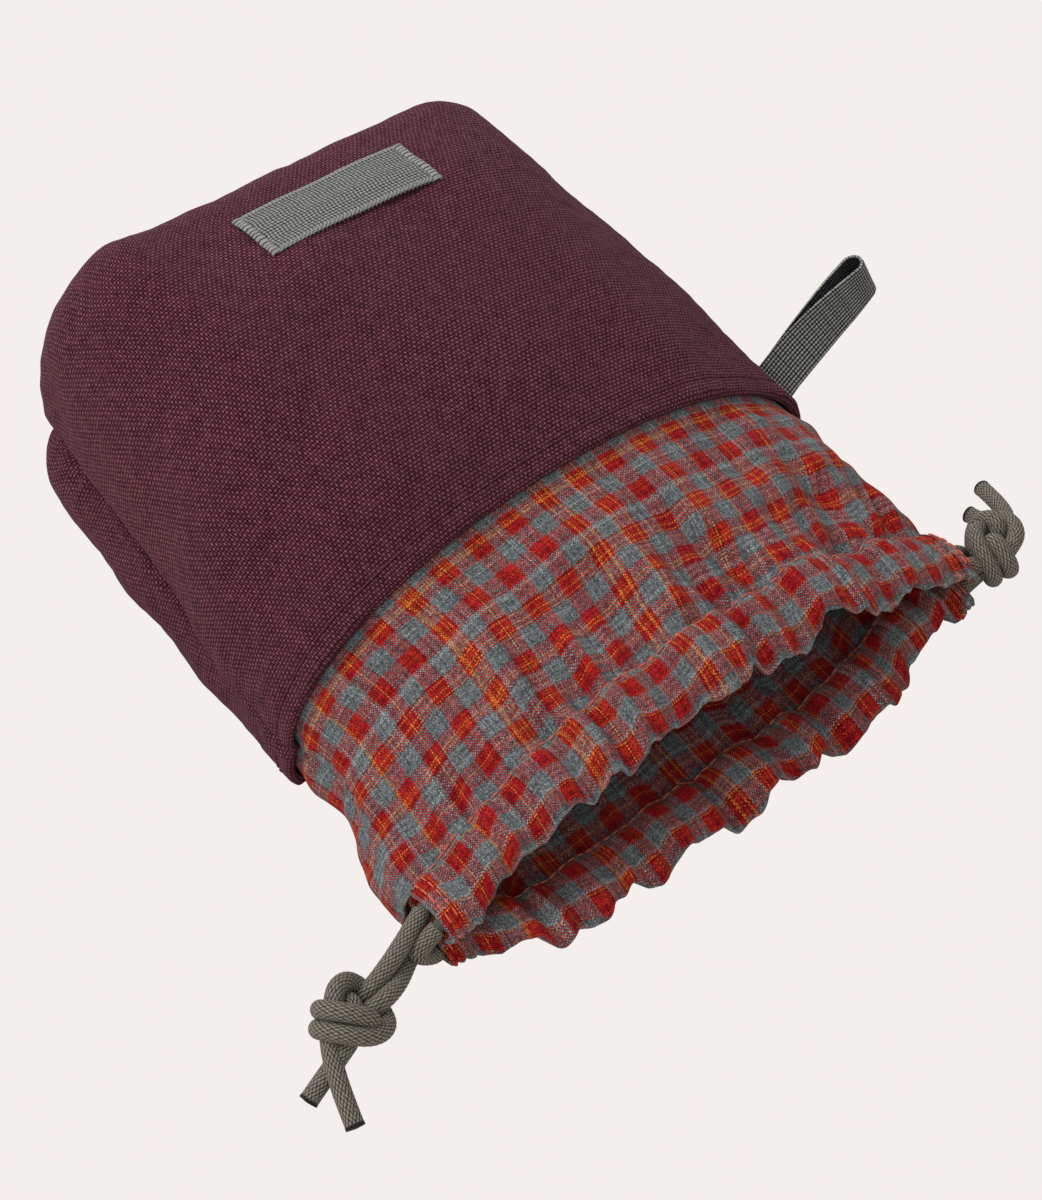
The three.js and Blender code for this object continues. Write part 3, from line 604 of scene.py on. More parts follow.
def creaseAt(x, up, out, front):
    total = 0 * x + 0 * up + 0 * out
    for place, slant, depth, width, skirtReach, casingReach in sewnCreases(front):
        s = x - place + slant * (out - up)
        fade = np.exp(-((up / skirtReach) ** 2) - (out / casingReach) ** 2)
        total = np.maximum(total, depth * fade * hump(s, width + 0.07 * (up + out)))
    return total * smoothStep(bagForm["mouthHalf"] - np.abs(x), 2, 10)


# Gathering also bends the lines of the check
def grainBend(x, distance, front):
    return hump(distance, 28) * waves(x, [(37, 0.9), (21, 0.6), (12.5, 0.4)], 67 if front else 69)


def mouthCorner(side):
    return "mouth_corner_left" if side < 0 else "mouth_corner_right"


# The line from the hem's corner towards the middle of the mouth, at one side of a panel.
# Front and back share it
def gatherBend(side):
    corner = np.array([side * bagForm["mouthHalf"], bagForm["mouthAt"]])
    hemCorner = np.array([side * bagForm["mouthHalf"], bagForm["hemAt"]])
    middle = np.array([0, bagForm["mouthAt"] - bagForm["lipReach"] - 2])
    along = (middle - hemCorner) / np.linalg.norm(middle - hemCorner)
    normal = np.array([along[1], -along[0]])
    end = hemCorner + normal * ((corner - hemCorner) @ normal)
    return ["bag", mouthCorner(side), (*(hemCorner * mm), 0), (*(end * mm), 0)]


# Cuts a gathered panel at its middle into two pieces that meet there
def splitPanel(name, node, points, cloth, form, flip, closed):
    middle = points.shape[1] // 2
    for side, part in ((-1, slice(0, middle + 1)), (1, slice(middle, None))):
        half = meshFromGrid(name + ("Left" if side < 0 else "Right"), points[:, part],
                            cloth[:, part], checkCloth, form["thick"], flip, closed)
        finishPiece(half, [node], bend=gatherBend(side))


def makeSkirt(name, node, front):
    form, hem, stitch = skirtForm, bagForm["hemAt"], bagForm["stitchAt"]
    shares = np.linspace(0, 1, form["columns"] + 1)
    ys = np.linspace(form["from"], form["to"], form["rows"])
    points = []
    for y in ys:
        settled = smoothStep(hem - y, 0, form["settle"])
        inset = form["insetAtHem"] + (form["insetAtMouth"] - form["insetAtHem"]) * settled
        row = panelRow(front, y, inset, shares)
        row[:, 2] += form["seamGap"] / 2 * (1 if front else -1)
        if not front:
            row[:, 1] -= lip(row[:, 0], y)
        points.append(row)
    points = np.array(points)
    x, y = points[:, :, 0], ys[:, None]
    a, b = np.meshgrid((shares - 0.5) * form["flatWidth"], form["from"] - ys)
    distance = y - stitch + 0 * x
    b = b + grainBend(x, distance, front)
    away = smoothStep(y, stitch, stitch + 8)
    push = foldAt(x, distance, front)
    push += form["puff"] * hump(distance, 12)
    push -= form["creases"] * creaseAt(x, np.maximum(distance, 0), 0, front)
    push += form["dents"] * away * dents(a, b, 23, 61 if front else 62)
    push += form["smallDents"] * away * dents(a, b, 9, 63)
    push -= form["stitchGroove"] * hump(y - stitch, 1.3)
    if front:  # one long fold runs from the hem towards the right end of the mouth
        push += form["sideFold"] * away * hump(x - 61 + 0.16 * (y - hem), 2.6)
    fromSeam = (0.5 - np.abs(shares - 0.5))[None, :] * form["flatWidth"]
    push *= smoothStep(hem - y, -1, 8) * (1 - hump(fromSeam, 6))
    push += form["seamRipple"] * hump(fromSeam - 4, 2) * waves(b, [(9.5, 1), (6.1, 0.5)], 64)
    groove = hump(fromSeam, 1.5) * smoothStep(hem - y, 0, 8) * (shares > 0.5)
    push -= form["seamGroove"] * groove
    points = points + facing(points) * (-1 if front else 1) * push[:, :, None]
    points[:, :, 2] = np.maximum(points[:, :, 2], 0.05)
    splitPanel(name, node, points, np.stack([a, b], -1), form, front, False)


makeSkirt("skirtFront", "skirt_front", True)
makeSkirt("skirtBack", "skirt_back", False)
print("skirt made")

# The casing: a flat channel of cloth at the mouth with a folded rim, gathered along its stitch
# line. Its half height is given at shares of its width, from the stitch line to the rim.
# Fullness is how much more cloth than mouth there is, after the skirt's own
casingForm = {"stop": 84.15, "endLines": (86.3, 88.4), "thick": 0.5, "endThick": 0.9,
              "columns": 420, "section": 36, "endColumns": 25, "middleDepth": 1.1,
              "endExtra": 0.3, "tallest": 1.36, "clothFrom": 59.5, "puff": 1.0, "rimWave": 1.5,
              "rimNotch": 1.2, "notchWide": 2.1, "fullness": {True: 1.06, False: 1.04},
              "pleats": [(5.3, 0.9), (8.1, 0.7), (3.7, 0.3)],
              "scallops": {True: [(33, 0.7), (19, 0.4)], False: [(37, 0.8), (21, 0.7), (13, 0.3)]},
              "shares": [0, 0.05, 0.12, 0.2, 0.27, 0.34, 0.5, 0.67, 0.75, 0.85, 0.94, 0.985, 1],
              "heights": [0.4, 1.1, 1.7, 2.3, 2.7, 2.85, 2.85, 2.85, 2.5, 1.8, 1.1, 0.7, 0]}


# The middle of the channel at x, a distance f out from the stitch line
def casingMiddle(front, x, f):
    y = bagForm["stitchAt"] - f
    if front:
        turn = np.arccos(np.clip(-x / bagForm["mouthHalf"], -1, 1))
        z = skin(turn, np.maximum(y, bagForm["mouthAt"]) + 0 * x, casingForm["middleDepth"])[..., 2]
        return np.stack([x, y + 0 * x, z], -1)
    z = 0 * x + bagForm["casingHeight"] / 2 + 0.3
    return np.stack([x, y - lip(x, bagForm["stitchAt"]), z], -1)


# How far the folds lift the casing; the cords inside rise with it
def casingRise(front, x, f):
    share = np.clip(f / bagForm["casingWidth"], 0, 1)
    return foldAt(x, 0 * x, front) * (0.8 + 0.5 * share)


def casingSurface(front, x, grown=0.0):
    form, width, end = casingForm, bagForm["casingWidth"], bagForm["mouthHalf"]
    turn = np.linspace(0, 2 * math.pi, form["section"] + 1)[:, None]
    f = width / 2 - (width / 2 + grown) * np.cos(turn) + 0 * x[None, :]
    share = np.clip((f + grown) / (width + 2 * grown), 0, 1)
    h = np.interp(share, form["shares"], form["heights"]) + grown * (share < 1)
    h = h * np.where(np.sin(turn) >= 0, 1, -1) * (np.abs(np.sin(turn)) > 1e-6)
    x = x[None, :] + 0 * f
    before = casingMiddle(front, np.maximum(x - 2, -end), f)
    after = casingMiddle(front, np.minimum(x + 2, end), f)
    slope = (after[..., 2] - before[..., 2]) / (after[..., 0] - before[..., 0])
    points = casingMiddle(front, x, f)
    calm = smoothStep(end - np.abs(x), 0, 12)
    near = hump(f, 5) + 0.5 * smoothStep(f, 11, 18)
    pleat = 0.1 * calm * near * waves(x, form["pleats"], 71 if front else 72)
    stand = np.minimum(np.hypot(1, slope), form["tallest"])
    # the cloth puffs up between the creases, which run on from the skirt
    body = smoothStep(f, 0.3, 3) * (1 - 0.75 * smoothStep(f, 10, width))
    puff = form["puff"] * calm * body * (1 - creaseAt(x, 0, np.maximum(f, 0), front)) * np.sign(h)
    points[..., 2] += h * stand * (1 + pleat) + puff + casingRise(front, x, f)
    notch = 0 * x
    for place, slant, depth, *_ in sewnCreases(front):
        notch = np.maximum(notch, depth * hump(x - place + slant * width, form["notchWide"]))
    scallops = waves(x, form["scallops"][front], 74 if front else 75)
    rim = form["rimWave"] * scallops - form["rimNotch"] * notch
    points[..., 1] -= calm * smoothStep(f, 12, width) * rim
    return points


def casingCloth(front, x, points):
    across = x * skirtForm["flatWidth"] / (2 * bagForm["mouthHalf"]) * casingForm["fullness"][front]
    a, b = np.meshgrid(across, casingForm["clothFrom"] + lengthsAlong(points[:, 0]))
    flat = (a[0, -1], b[-1, 0] - b[0, 0])
    return np.stack([a, b + grainBend(x, 0, front)], -1), flat


def makeCasing(name, node, front):
    form = casingForm
    x = np.linspace(-form["stop"], form["stop"], form["columns"] + 1)
    points = casingSurface(front, x)
    points[..., 2] = np.maximum(points[..., 2], 0.1)
    cloth, flat = casingCloth(front, x, points)
    splitPanel(name, node, points, cloth, form, True, True)
    return points


def makeCasingEnd(name, node, front, side):
    form, end = casingForm, bagForm["mouthHalf"]
    x = np.sort(np.linspace(form["stop"], end, form["endColumns"]) * side)
    points = casingSurface(front, x, form["endExtra"])
    fromMiddle = np.abs(points[..., 0])
    middle = casingMiddle(front, points[..., 0], bagForm["casingWidth"] / 2)
    sewn = sum(hump(fromMiddle - line, 0.5) for line in form["endLines"])
    pinch = 0.1 * smoothStep(fromMiddle, end - 0.9, end) + 0.09 * sewn
    points[..., 1:] += (middle[..., 1:] - points[..., 1:]) * pinch[..., None]
    points[..., 2] = np.maximum(points[..., 2], 0.1)
    cloth, flat = casingCloth(front, x, points)
    piece = meshFromGrid(name, points, cloth, checkCloth, form["endThick"], True, True)
    finishPiece(piece, [node], mouthCorner(side))


casingFrontPoints = makeCasing("casingFront", "casing_front", True)
casingBackPoints = makeCasing("casingBack", "casing_back", False)
for side, word in ((-1, "left"), (1, "right")):
    for front, face in ((True, "front"), (False, "back")):
        label = f"casingEnd{word.title()}{face.title()}"
        makeCasingEnd(label, f"casing_end_{word}_{face}", front, side)
print("casing made")

# The drawcords. Posts are the shares of half the mouth at which a cord's run is held, and lead
# is how far it goes on before it turns into the other casing
cordForm = {"diameter": 4.7, "sides": 64, "step": 0.3, "squeezed": 1.0, "yarns": 15,
            "braid": 1.7, "relief": 0.17, "hidden": {"sides": 20, "step": 0.9, "squeezed": 0.8},
            "soften": 70, "lowest": 2.55, "knotSize": 6, "knotSpacing": 2, "knotRounds": 1600,
            "nextTo": 5, "squeeze": 0.94, "lead": 1.4,
            "posts": [1, 0.968, 0.935, 0.87, 0.78, 0.63, 0.44, 0.22]}


# A smooth curve through the points, at even steps
def evenly(points, spacing, parts=24):
    points = np.asarray(points, float)
    ends = np.vstack([2 * points[0] - points[1], points, 2 * points[-1] - points[-2]])
    p0, p1, p2, p3 = ends[:-3], ends[1:-2], ends[2:-1], ends[3:]
    d0, d1, d2 = (np.sqrt(np.linalg.norm(b - a, axis=1))[:, None]
                  for a, b in ((p0, p1), (p1, p2), (p2, p3)))
    t1 = ((p1 - p0) / d0 - (p2 - p0) / (d0 + d1) + (p2 - p1) / d1) * d1
    t2 = ((p2 - p1) / d1 - (p3 - p1) / (d1 + d2) + (p3 - p2) / d2) * d1
    t = (np.arange(parts) / parts)[None, :, None]
    a, b, c, d = (k[:, None, :] for k in (p1, t1, 3 * (p2 - p1) - 2 * t1 - t2,
                                          2 * (p1 - p2) + t1 + t2))
    dense = np.vstack([(a + b * t + c * t ** 2 + d * t ** 3).reshape(-1, 3), points[-1:]])
    along = lengthsAlong(dense)
    wanted = np.linspace(0, along[-1], int(round(along[-1] / spacing)) + 1)
    return pointsAt(wanted, along, dense)


def looseOverhand(size):
    turn = 0.3 + (2 * math.pi - 0.6) * np.arange(41) / 40
    radius = 2 + np.cos(3 * turn)
    loop = np.stack([radius * np.cos(2 * turn), radius * np.sin(2 * turn), np.sin(3 * turn)], -1)
    first = [(4.4, 6, 0.4), (4.4, 3.5, 0.4), (4.2, 1.6, 0.5), (3.4, 0.75, 0.6)]
    last = [(3.4, -0.75, -0.6), (4.2, -1.6, -0.5), (4.4, -3.5, -0.4), (4.4, -6, -0.4)]
    return np.vstack([first, loop, last]) * size


# Draws the slack out of two cords laid through one loose knot, while no two stretches of them
# come too close
def tightenKnot():
    form = cordForm
    apart = form["squeeze"] * form["diameter"] + 0.3
    centre = evenly(looseOverhand(form["knotSize"]), form["knotSpacing"])
    step = np.gradient(centre, axis=0)
    across = np.stack([step[:, 1], -step[:, 0], 0 * step[:, 0]], -1)
    across /= np.linalg.norm(across, axis=1, keepdims=True)
    strands = [evenly(centre + side * apart * 0.55 * across, form["knotSpacing"])
               for side in (-1, 1)]
    ends = [(s[0].copy(), s[-1].copy()) for s in strands]

    def separate(strands, times):
        count = len(strands[0])
        both = np.vstack(strands)
        order = np.concatenate([np.arange(len(s)) for s in strands])
        owner = np.concatenate([[k] * len(s) for k, s in enumerate(strands)])
        near = np.abs(order[:, None] - order[None, :]) < form["nextTo"]
        near &= owner[:, None] == owner[None, :]
        for k in range(times):
            gap = both[:, None, :] - both[None, :, :]
            length = np.sqrt((gap ** 2).sum(-1)) + 1e-9
            push = np.where(near | (length >= apart), 0, (apart - length) / length * 0.35)
            both = both + (gap * push[:, :, None]).sum(1)
            both[0], both[count - 1] = ends[0]
            both[count], both[-1] = ends[1]
        return [both[:count], both[count:]]

    def reStep(s):
        s = np.vstack([s[:1], 0.25 * (s[:-2] + s[2:]) + 0.5 * s[1:-1], s[-1:]])
        along = lengthsAlong(s)
        count = int(round(along[-1] / form["knotSpacing"])) + 1
        return pointsAt(np.linspace(0, along[-1], count), along, s)

    for k in range(form["knotRounds"]):
        strands = separate([reStep(s) for s in strands], 4)
    strands = separate(strands, 60)
    reach = 1.9 * form["knotSize"]
    core = np.vstack([s[np.abs(s[:, 1]) < reach] for s in strands])
    middle = (core.min(0) + core.max(0)) / 2
    result = []
    for s in strands:
        local = np.stack([-s[:, 1], s[:, 0] - middle[0], s[:, 2] - middle[2]], -1)
        first = int(np.argmax(local[:, 0] > -reach))
        last = len(local) - 1 - int(np.argmax(local[::-1, 0] < reach))
        result.append(local[first:last + 1])
    return result


knotStrands = tightenKnot()
print("knot drawn tight")


def placedKnot(route):
    a, b = math.radians(route["turn"]), math.radians(route["roll"])
    turn = np.array([[math.cos(a), -math.sin(a), 0], [math.sin(a), math.cos(a), 0], [0, 0, 1]])
    roll = np.array([[1, 0, 0], [0, math.cos(b), -math.sin(b)], [0, math.sin(b), math.cos(b)]])
    spin = turn @ roll
    return [s[route["leaveOff"]:] @ spin.T + np.array(route["place"]) for s in knotStrands]


# A braided tube along a path, with the braid's over and under in the mesh
def braidedTube(name, path, cutEnd=False, hidden=False):
    form = cordForm | (cordForm["hidden"] if hidden else {})
    path = evenly(path, form["step"], 6)
    step = np.gradient(path, axis=0)
    step /= np.linalg.norm(step, axis=1, keepdims=True)
    side = np.cross(step[0], (0, 0, 1))
    sides = []
    for s in step:
        side = side - (side @ s) * s
        side = side / np.linalg.norm(side)
        sides.append(side)
    sides = np.array(sides)
    ups = np.cross(step, sides)
    along = np.arange(len(path)) * form["step"]
    a, b = np.meshgrid(np.linspace(0, 2 * math.pi, form["sides"] + 1), along)
    strandA = a / (2 * np.pi) * form["yarns"] + b / form["braid"]
    strandB = a / (2 * np.pi) * form["yarns"] - b / form["braid"]
    over = (np.floor(strandA) + np.floor(strandB)) % 2 < 1
    waveA, waveB = np.abs(np.sin(np.pi * strandA)), np.abs(np.sin(np.pi * strandB))
    tall, low = np.where(over, waveA, waveB), np.where(over, waveB, waveA)
    # the braid's height shapes the tube and, as relief, paints shade in its dips and a highlight on
    # its tops
    relief = tall ** 0.7 * (0.55 + 0.45 * low ** 0.5)
    if hidden:  # inside the casing no braid shows
        relief = np.full_like(relief, 0.6)
    radius = form["squeezed"] * form["diameter"] / 2 - form["relief"] * (1 - relief)
    if cutEnd:  # the cut end is sealed with heat: a short smooth rim, then a flat dark face
        rest = along[-1] - b
        sealed = 1 - smoothStep(rest, 0.7, 1.3)
        radius += sealed * (form["diameter"] * 0.51 - radius)
        radius = radius * np.where(rest < 0.1, 0.02, 1)
        relief = relief * (1 - 0.8 * sealed)
    points = path[:, None] + radius[..., None] * (np.cos(a)[..., None] * sides[:, None]
                                                  + np.sin(a)[..., None] * ups[:, None])
    cloth = np.stack([a / (2 * np.pi) * 14.8, b], -1)  # 14.8 mm is once round the cord
    return meshFromGrid(name, points, cloth, braidedCord, 0, False, True, relief), path


# Lane is how far out from the stitch line a cord runs, and rideFrom is a place along x past the
# casing's end that is passed on with its free ends
drawcords = {
    "left": {"side": -1, "lane": 6, "place": (-118.5, -83.8, 9.6), "turn": 196, "roll": 0,
             "leaveOff": 0, "rideFrom": 104,
             "tailFront": [(-130.8, -92.6, 8.6), (-132.6, -96, 5.5), (-133.4, -99.5, 3.2),
                           (-134, -103, 2.6)],
             "strandFront": [(-93.5, -72.3, 12.4), (-97.5, -74.4, 11.6), (-103, -78.3, 10.8)],
             "strandBack": [(-93.5, -72, 3.8), (-98, -73.5, 4), (-101, -79, 4.8),
                            (-103.3, -83.2, 7.5)],
             "tailBack": [(-131.4, -88, 5.4), (-134.5, -89.3, 3.4), (-138.5, -90.5, 2.6)]},
    "right": {"side": 1, "lane": 12, "place": (101.9, -77.4, 10), "turn": 21, "roll": -90,
              "leaveOff": 2, "rideFrom": 94.5,
              "tailFront": [(113.4, -71.4, 4.6), (114.3, -67.6, 3.3), (114.2, -63.2, 2.7),
                            (113.6, -59, 2.6)],
              "strandFront": [(92.8, -78.6, 12.2)],
              "strandBack": [(93.2, -78.9, 5.3)],
              "tailBack": [(114.4, -74.6, 10.6), (117.6, -71, 8.8), (120.9, -63, 5.2),
                           (123.8, -54.5, 2.8)]},
}


def makeDrawcord(word):
    route, posts = drawcords[word], cordForm["posts"]
    side, lane, end = route["side"], route["lane"], bagForm["mouthHalf"]
    shares = np.array(posts + [0] + [-s for s in reversed(posts)])
    between = evenly(np.stack([shares] * 3, -1) * 90, 3)[1:-1, 0] / 90
    shares = np.concatenate([shares[:1], between, shares[-1:]])
    runs = {}
    for front, x in ((True, side * shares * end), (False, -side * shares * end)):
        runs[front] = casingMiddle(front, x, lane + 0 * x)
        runs[front][:, 2] += casingRise(front, x, lane + 0 * x)
    front, back = runs[True], runs[False]

    # the two free ends, from the casing through the knot to the tail
    knot = placedKnot(route)
    knotMiddle = np.mean(knot[0], axis=0)
    for face, start, loops in (("front", front[0], knot[1]), ("back", back[-1], knot[0])):
        strand, tail = route["strand" + face.title()], route["tail" + face.title()]
        whole = evenly(np.vstack([start, strand, loops, tail]), 1.5)
        # kinks soften everywhere except inside the knot, whose strands lie against each other
        free = smoothStep(np.linalg.norm(whole - knotMiddle, axis=1), 7, 14)[1:-1, None]
        for k in range(cordForm["soften"]):
            whole[1:-1] += 0.5 * free * ((whole[:-2] + whole[2:]) / 2 - whole[1:-1])
        whole[:, 2] = np.maximum(whole[:, 2], cordForm["lowest"])
        piece, path = braidedTube(f"{word}Cord{face.title()}", whole, cutEnd=True)
        nodes = [f"{word}_cord_{part}_{face}" for part in ("tail", "knot", "strand")]
        stop = np.array([side * route["rideFrom"], start[1], start[2]])
        finishPiece(piece, nodes, bend=[mouthCorner(side), f"{word}_drawcord",
                                                tuple(start * mm), tuple(stop * mm)])

    # the held run: halves in each casing, and the turn round the far corner
    middle = int(np.argmin(np.abs(shares)))
    for label, points, toward in (("FrontNear", front[:middle + 1], side),
                                  ("FrontFar", front[middle:], -side),
                                  ("BackFar", back[:middle + 1], -side),
                                  ("BackNear", back[middle:], side)):
        piece, _ = braidedTube(f"{word}Run{label}", points, hidden=True)
        finishPiece(piece, [f"{word}_cord_run"], bend=gatherBend(toward))
    far, near, lead = front[-1], back[0], cordForm["lead"]
    bend = [far[0] - side * lead - side * (far[2] - near[2]) / 2, far[1], (far[2] + near[2]) / 2]
    upper = [far[0] - side * lead, far[1], far[2] - lead / 2]
    lower = [near[0] - side * lead, near[1], near[2] - lead / 4]
    piece, _ = braidedTube(f"{word}RunTurn", np.vstack([far, upper, bend, lower, near]))
    finishPiece(piece, [f"{word}_cord_run"], mouthCorner(-side))


for word in drawcords:
    makeDrawcord(word)
print("drawcords made")


# A coarse plain weave as heights, for the label and the tape
def weaveRelief(a, b, pitch):
    waveA, waveB = np.sin(np.pi * a / pitch), np.sin(np.pi * b / pitch)
    warp = np.abs(waveA) ** 0.55 * np.abs(waveB) ** 0.2
    weft = np.abs(waveB) ** 0.55 * np.abs(waveA) ** 0.2
    return np.where(waveA * waveB > 0, warp, 0.9 * weft)


# The woven label, sewn flat on the front panel with its ends folded under
labelForm = {"length": 53.6, "width": 19.6, "thick": 1.0, "x": 5.7, "y": 80.6, "turn": -1.9,
             "lift": 0.35, "pitch": 1.05, "relief": 0.34, "columns": 270, "rows": 98,
             "selvedge": 1.1, "rib": 1.3, "turnUnder": 2.6, "endYarn": 1.45}


def labelPoint(a, b, lift):
    turn = math.radians(labelForm["turn"])
    x = labelForm["x"] + a * math.cos(turn) - b * math.sin(turn)
    y = labelForm["y"] + a * math.sin(turn) + b * math.cos(turn)
    roundness = bagForm["baseRound"]
    beyond = np.maximum(y - bagForm["baseAt"] + roundness, 0)
    depth = roundness - np.sqrt(np.maximum(roundness ** 2 - beyond ** 2, 0))
    fromMiddle = x - outlineAt(y, "shift") + outlineAt(y, "lean")
    share = np.abs(fromMiddle) / outlineAt(y, "half")
    turn = np.arccos(-np.sign(fromMiddle) * share ** (outlineAt(y, "side") / 2))
    return skin(turn, y, depth - lift)


def makeLabel():
    form = labelForm
    a, b = np.meshgrid(np.linspace(-0.5, 0.5, form["columns"] + 1) * form["length"],
                       np.linspace(-0.5, 0.5, form["rows"] + 1) * form["width"])
    relief = weaveRelief(a + 0.2 * np.sin(b), b + 0.37, form["pitch"])
    fromEnd, fromEdge = form["length"] / 2 - np.abs(a), form["width"] / 2 - np.abs(b)
    # long edges are slanting ribs, and the ends show the bare yarns where they turn under
    ribs = 0.35 + 0.65 * np.abs(np.sin(np.pi * (a + 1.2 * np.abs(b)) / form["rib"])) ** 0.6
    inner = smoothStep(fromEdge, form["selvedge"] - 0.1, form["selvedge"] + 0.1)
    relief += (ribs - relief) * (1 - inner)
    yarns = np.abs(np.sin(np.pi * (b + 0.25 * np.sin(b)) / form["endYarn"]))
    bars = 0.1 + 0.9 * yarns ** 0.5
    folded = 1 - smoothStep(fromEnd, form["turnUnder"] - 0.2, form["turnUnder"])
    relief += (bars - relief) * folded
    lift = form["lift"] + form["thick"] + form["relief"] * relief
    lift -= 0.55 * (1 - smoothStep(fromEnd, 0, 0.9)) + 0.45 * (1 - smoothStep(fromEdge, 0, 0.7))
    lift += 0.25 * dents(a, b, 15, 81) - 0.3 * hump(fromEnd - form["turnUnder"], 0.4)
    lift += 0.2 * (1 - smoothStep(fromEdge, 0.6, form["selvedge"]))
    uneven = (0.3 * yarns - 0.1) * (np.abs(a) > form["length"] / 2 - 1) * np.sign(a)
    points = labelPoint(a + uneven, b, lift)
    # the weave's relief also paints shade in the label's gaps and a highlight on its yarn tops
    piece = meshFromGrid("sewnLabel", points, np.stack([a, b], -1), wovenTape,
                         form["thick"] * 0.9, relief=relief)
    finishPiece(piece, ["label"], "bag")


makeLabel()

# The hang loop: a tape folded back on itself and twisted on its way out of the side seam. It
# starts in the direction of its root and bends round into the direction along
loopForm = {"width": 12.5, "thick": 0.9, "reach": 50, "opening": 6.5, "gap": 0.8, "fromHem": 16,
            "twist": 78, "twistEase": 0.7, "rootBend": 8, "legs": 0.42,
            "root": (0.75, 0, 0.66), "along": (0.92, 0.15, 0.35), "pitch": 1.0, "relief": 0.28,
            "columns": 380, "rows": 50}


# u runs once round the loop, w across the tape
def loopPoint(u, w, offset):
    form, legs, tip = loopForm, loopForm["legs"], loopForm["opening"] / 2
    footY = bagForm["hemAt"] + form["fromHem"]
    foot = skin(math.pi, footY, 0.0)
    foot[0] = max(foot[0], skin(math.pi, footY - form["width"] / 2, 0.0)[0]) + form["gap"]
    along = np.array(form["along"]) / np.linalg.norm(form["along"])
    straight = form["reach"] - tip
    leg = (u < legs) | (u > 1 - legs)
    t = np.where(u < legs, u, 1 - u) / legs
    rootHalf = (form["thick"] + 0.3) / 2
    sign = np.where(u < 0.5, 1, -1)
    slope = (u - legs) / (1 - 2 * legs) * math.pi
    rise = np.where(leg, (rootHalf + (tip - rootHalf) * smoothStep(t, 0, 1) + offset) * sign,
                    (tip + offset) * np.cos(slope))
    out = np.where(leg, 0, (tip + offset) * np.sin(slope))
    run = np.where(leg, straight * t, straight)
    share = np.clip(run / straight, 0, 1)[..., None]
    side = np.array([0, 1, 0]) - along * along[1] * share
    side /= np.linalg.norm(side, axis=-1, keepdims=True)
    up = np.cross(along, side)
    up /= np.linalg.norm(up, axis=-1, keepdims=True)
    twist = np.radians(form["twist"]) * share ** form["twistEase"]

    def turned(vector):
        dot = (vector @ along)[..., None]
        cross = np.cross(along, vector)
        return vector * np.cos(twist) + cross * np.sin(twist) + along * dot * (1 - np.cos(twist))

    side, up = turned(side), turned(up)
    lead = np.array(form["root"]) * (1 - share) + along * share
    return (foot + lead * (run + out)[..., None] + up * rise[..., None]
            + side * (w * form["width"])[..., None])


def makeLoop():
    form = loopForm
    u, w = np.meshgrid(np.linspace(0, 1, form["columns"] + 1),
                       np.linspace(-0.5, 0.5, form["rows"] + 1))
    along = lengthsAlong(loopPoint(u[:1], 0 * w[:1], 0.0)[0])
    a, b = np.meshgrid(along, w[:, 0] * form["width"])
    relief = weaveRelief(a, b + 0.25, form["pitch"])
    edge = 1 - smoothStep(form["width"] / 2 - np.abs(b), 0, 0.8)
    offset = form["thick"] / 2 - form["relief"] * (1 - relief) * (1 - 0.5 * edge) - 0.15 * edge
    points = loopPoint(u, w, offset + 0.12 * dents(a, b, 16, 91))
    # the weave's relief also paints shade in the tape's gaps and a highlight on its yarn tops
    piece = meshFromGrid("hangLoop", points, np.stack([a, b], -1), wovenTape,
                         form["thick"] * 0.85, relief=relief)
    foot = loopPoint(np.zeros(1), np.zeros(1), 0.0)[0]
    end = foot + np.array(form["along"]) * form["rootBend"]
    finishPiece(piece, ["hang_loop"],
                bend=["bag", "loop_tape", tuple(foot * mm), tuple(end * mm)])


makeLoop()
print("label and loop made")

# Stitches: one thread stitch is modelled and then laid along each seam
stitchForm = {"length": 2.5, "gap": 0.5, "thick": 0.42, "endThick": 0.5, "sink": 0.06}


def oneStitch():
    deselectAll()
    bpy.ops.mesh.primitive_uv_sphere_add(segments=8, ring_count=7, radius=0.5)
    stitch = bpy.context.object
    corners = np.array([v.co for v in stitch.data.vertices])
    faces = [tuple(p.vertices) for p in stitch.data.polygons]
    bpy.ops.object.delete()
    corners[:, 2] = np.sign(corners[:, 2]) * np.abs(corners[:, 2] * 2) ** 0.75 / 2  # blunter ends
    return corners, faces


stitchCorners, stitchFaces = oneStitch()


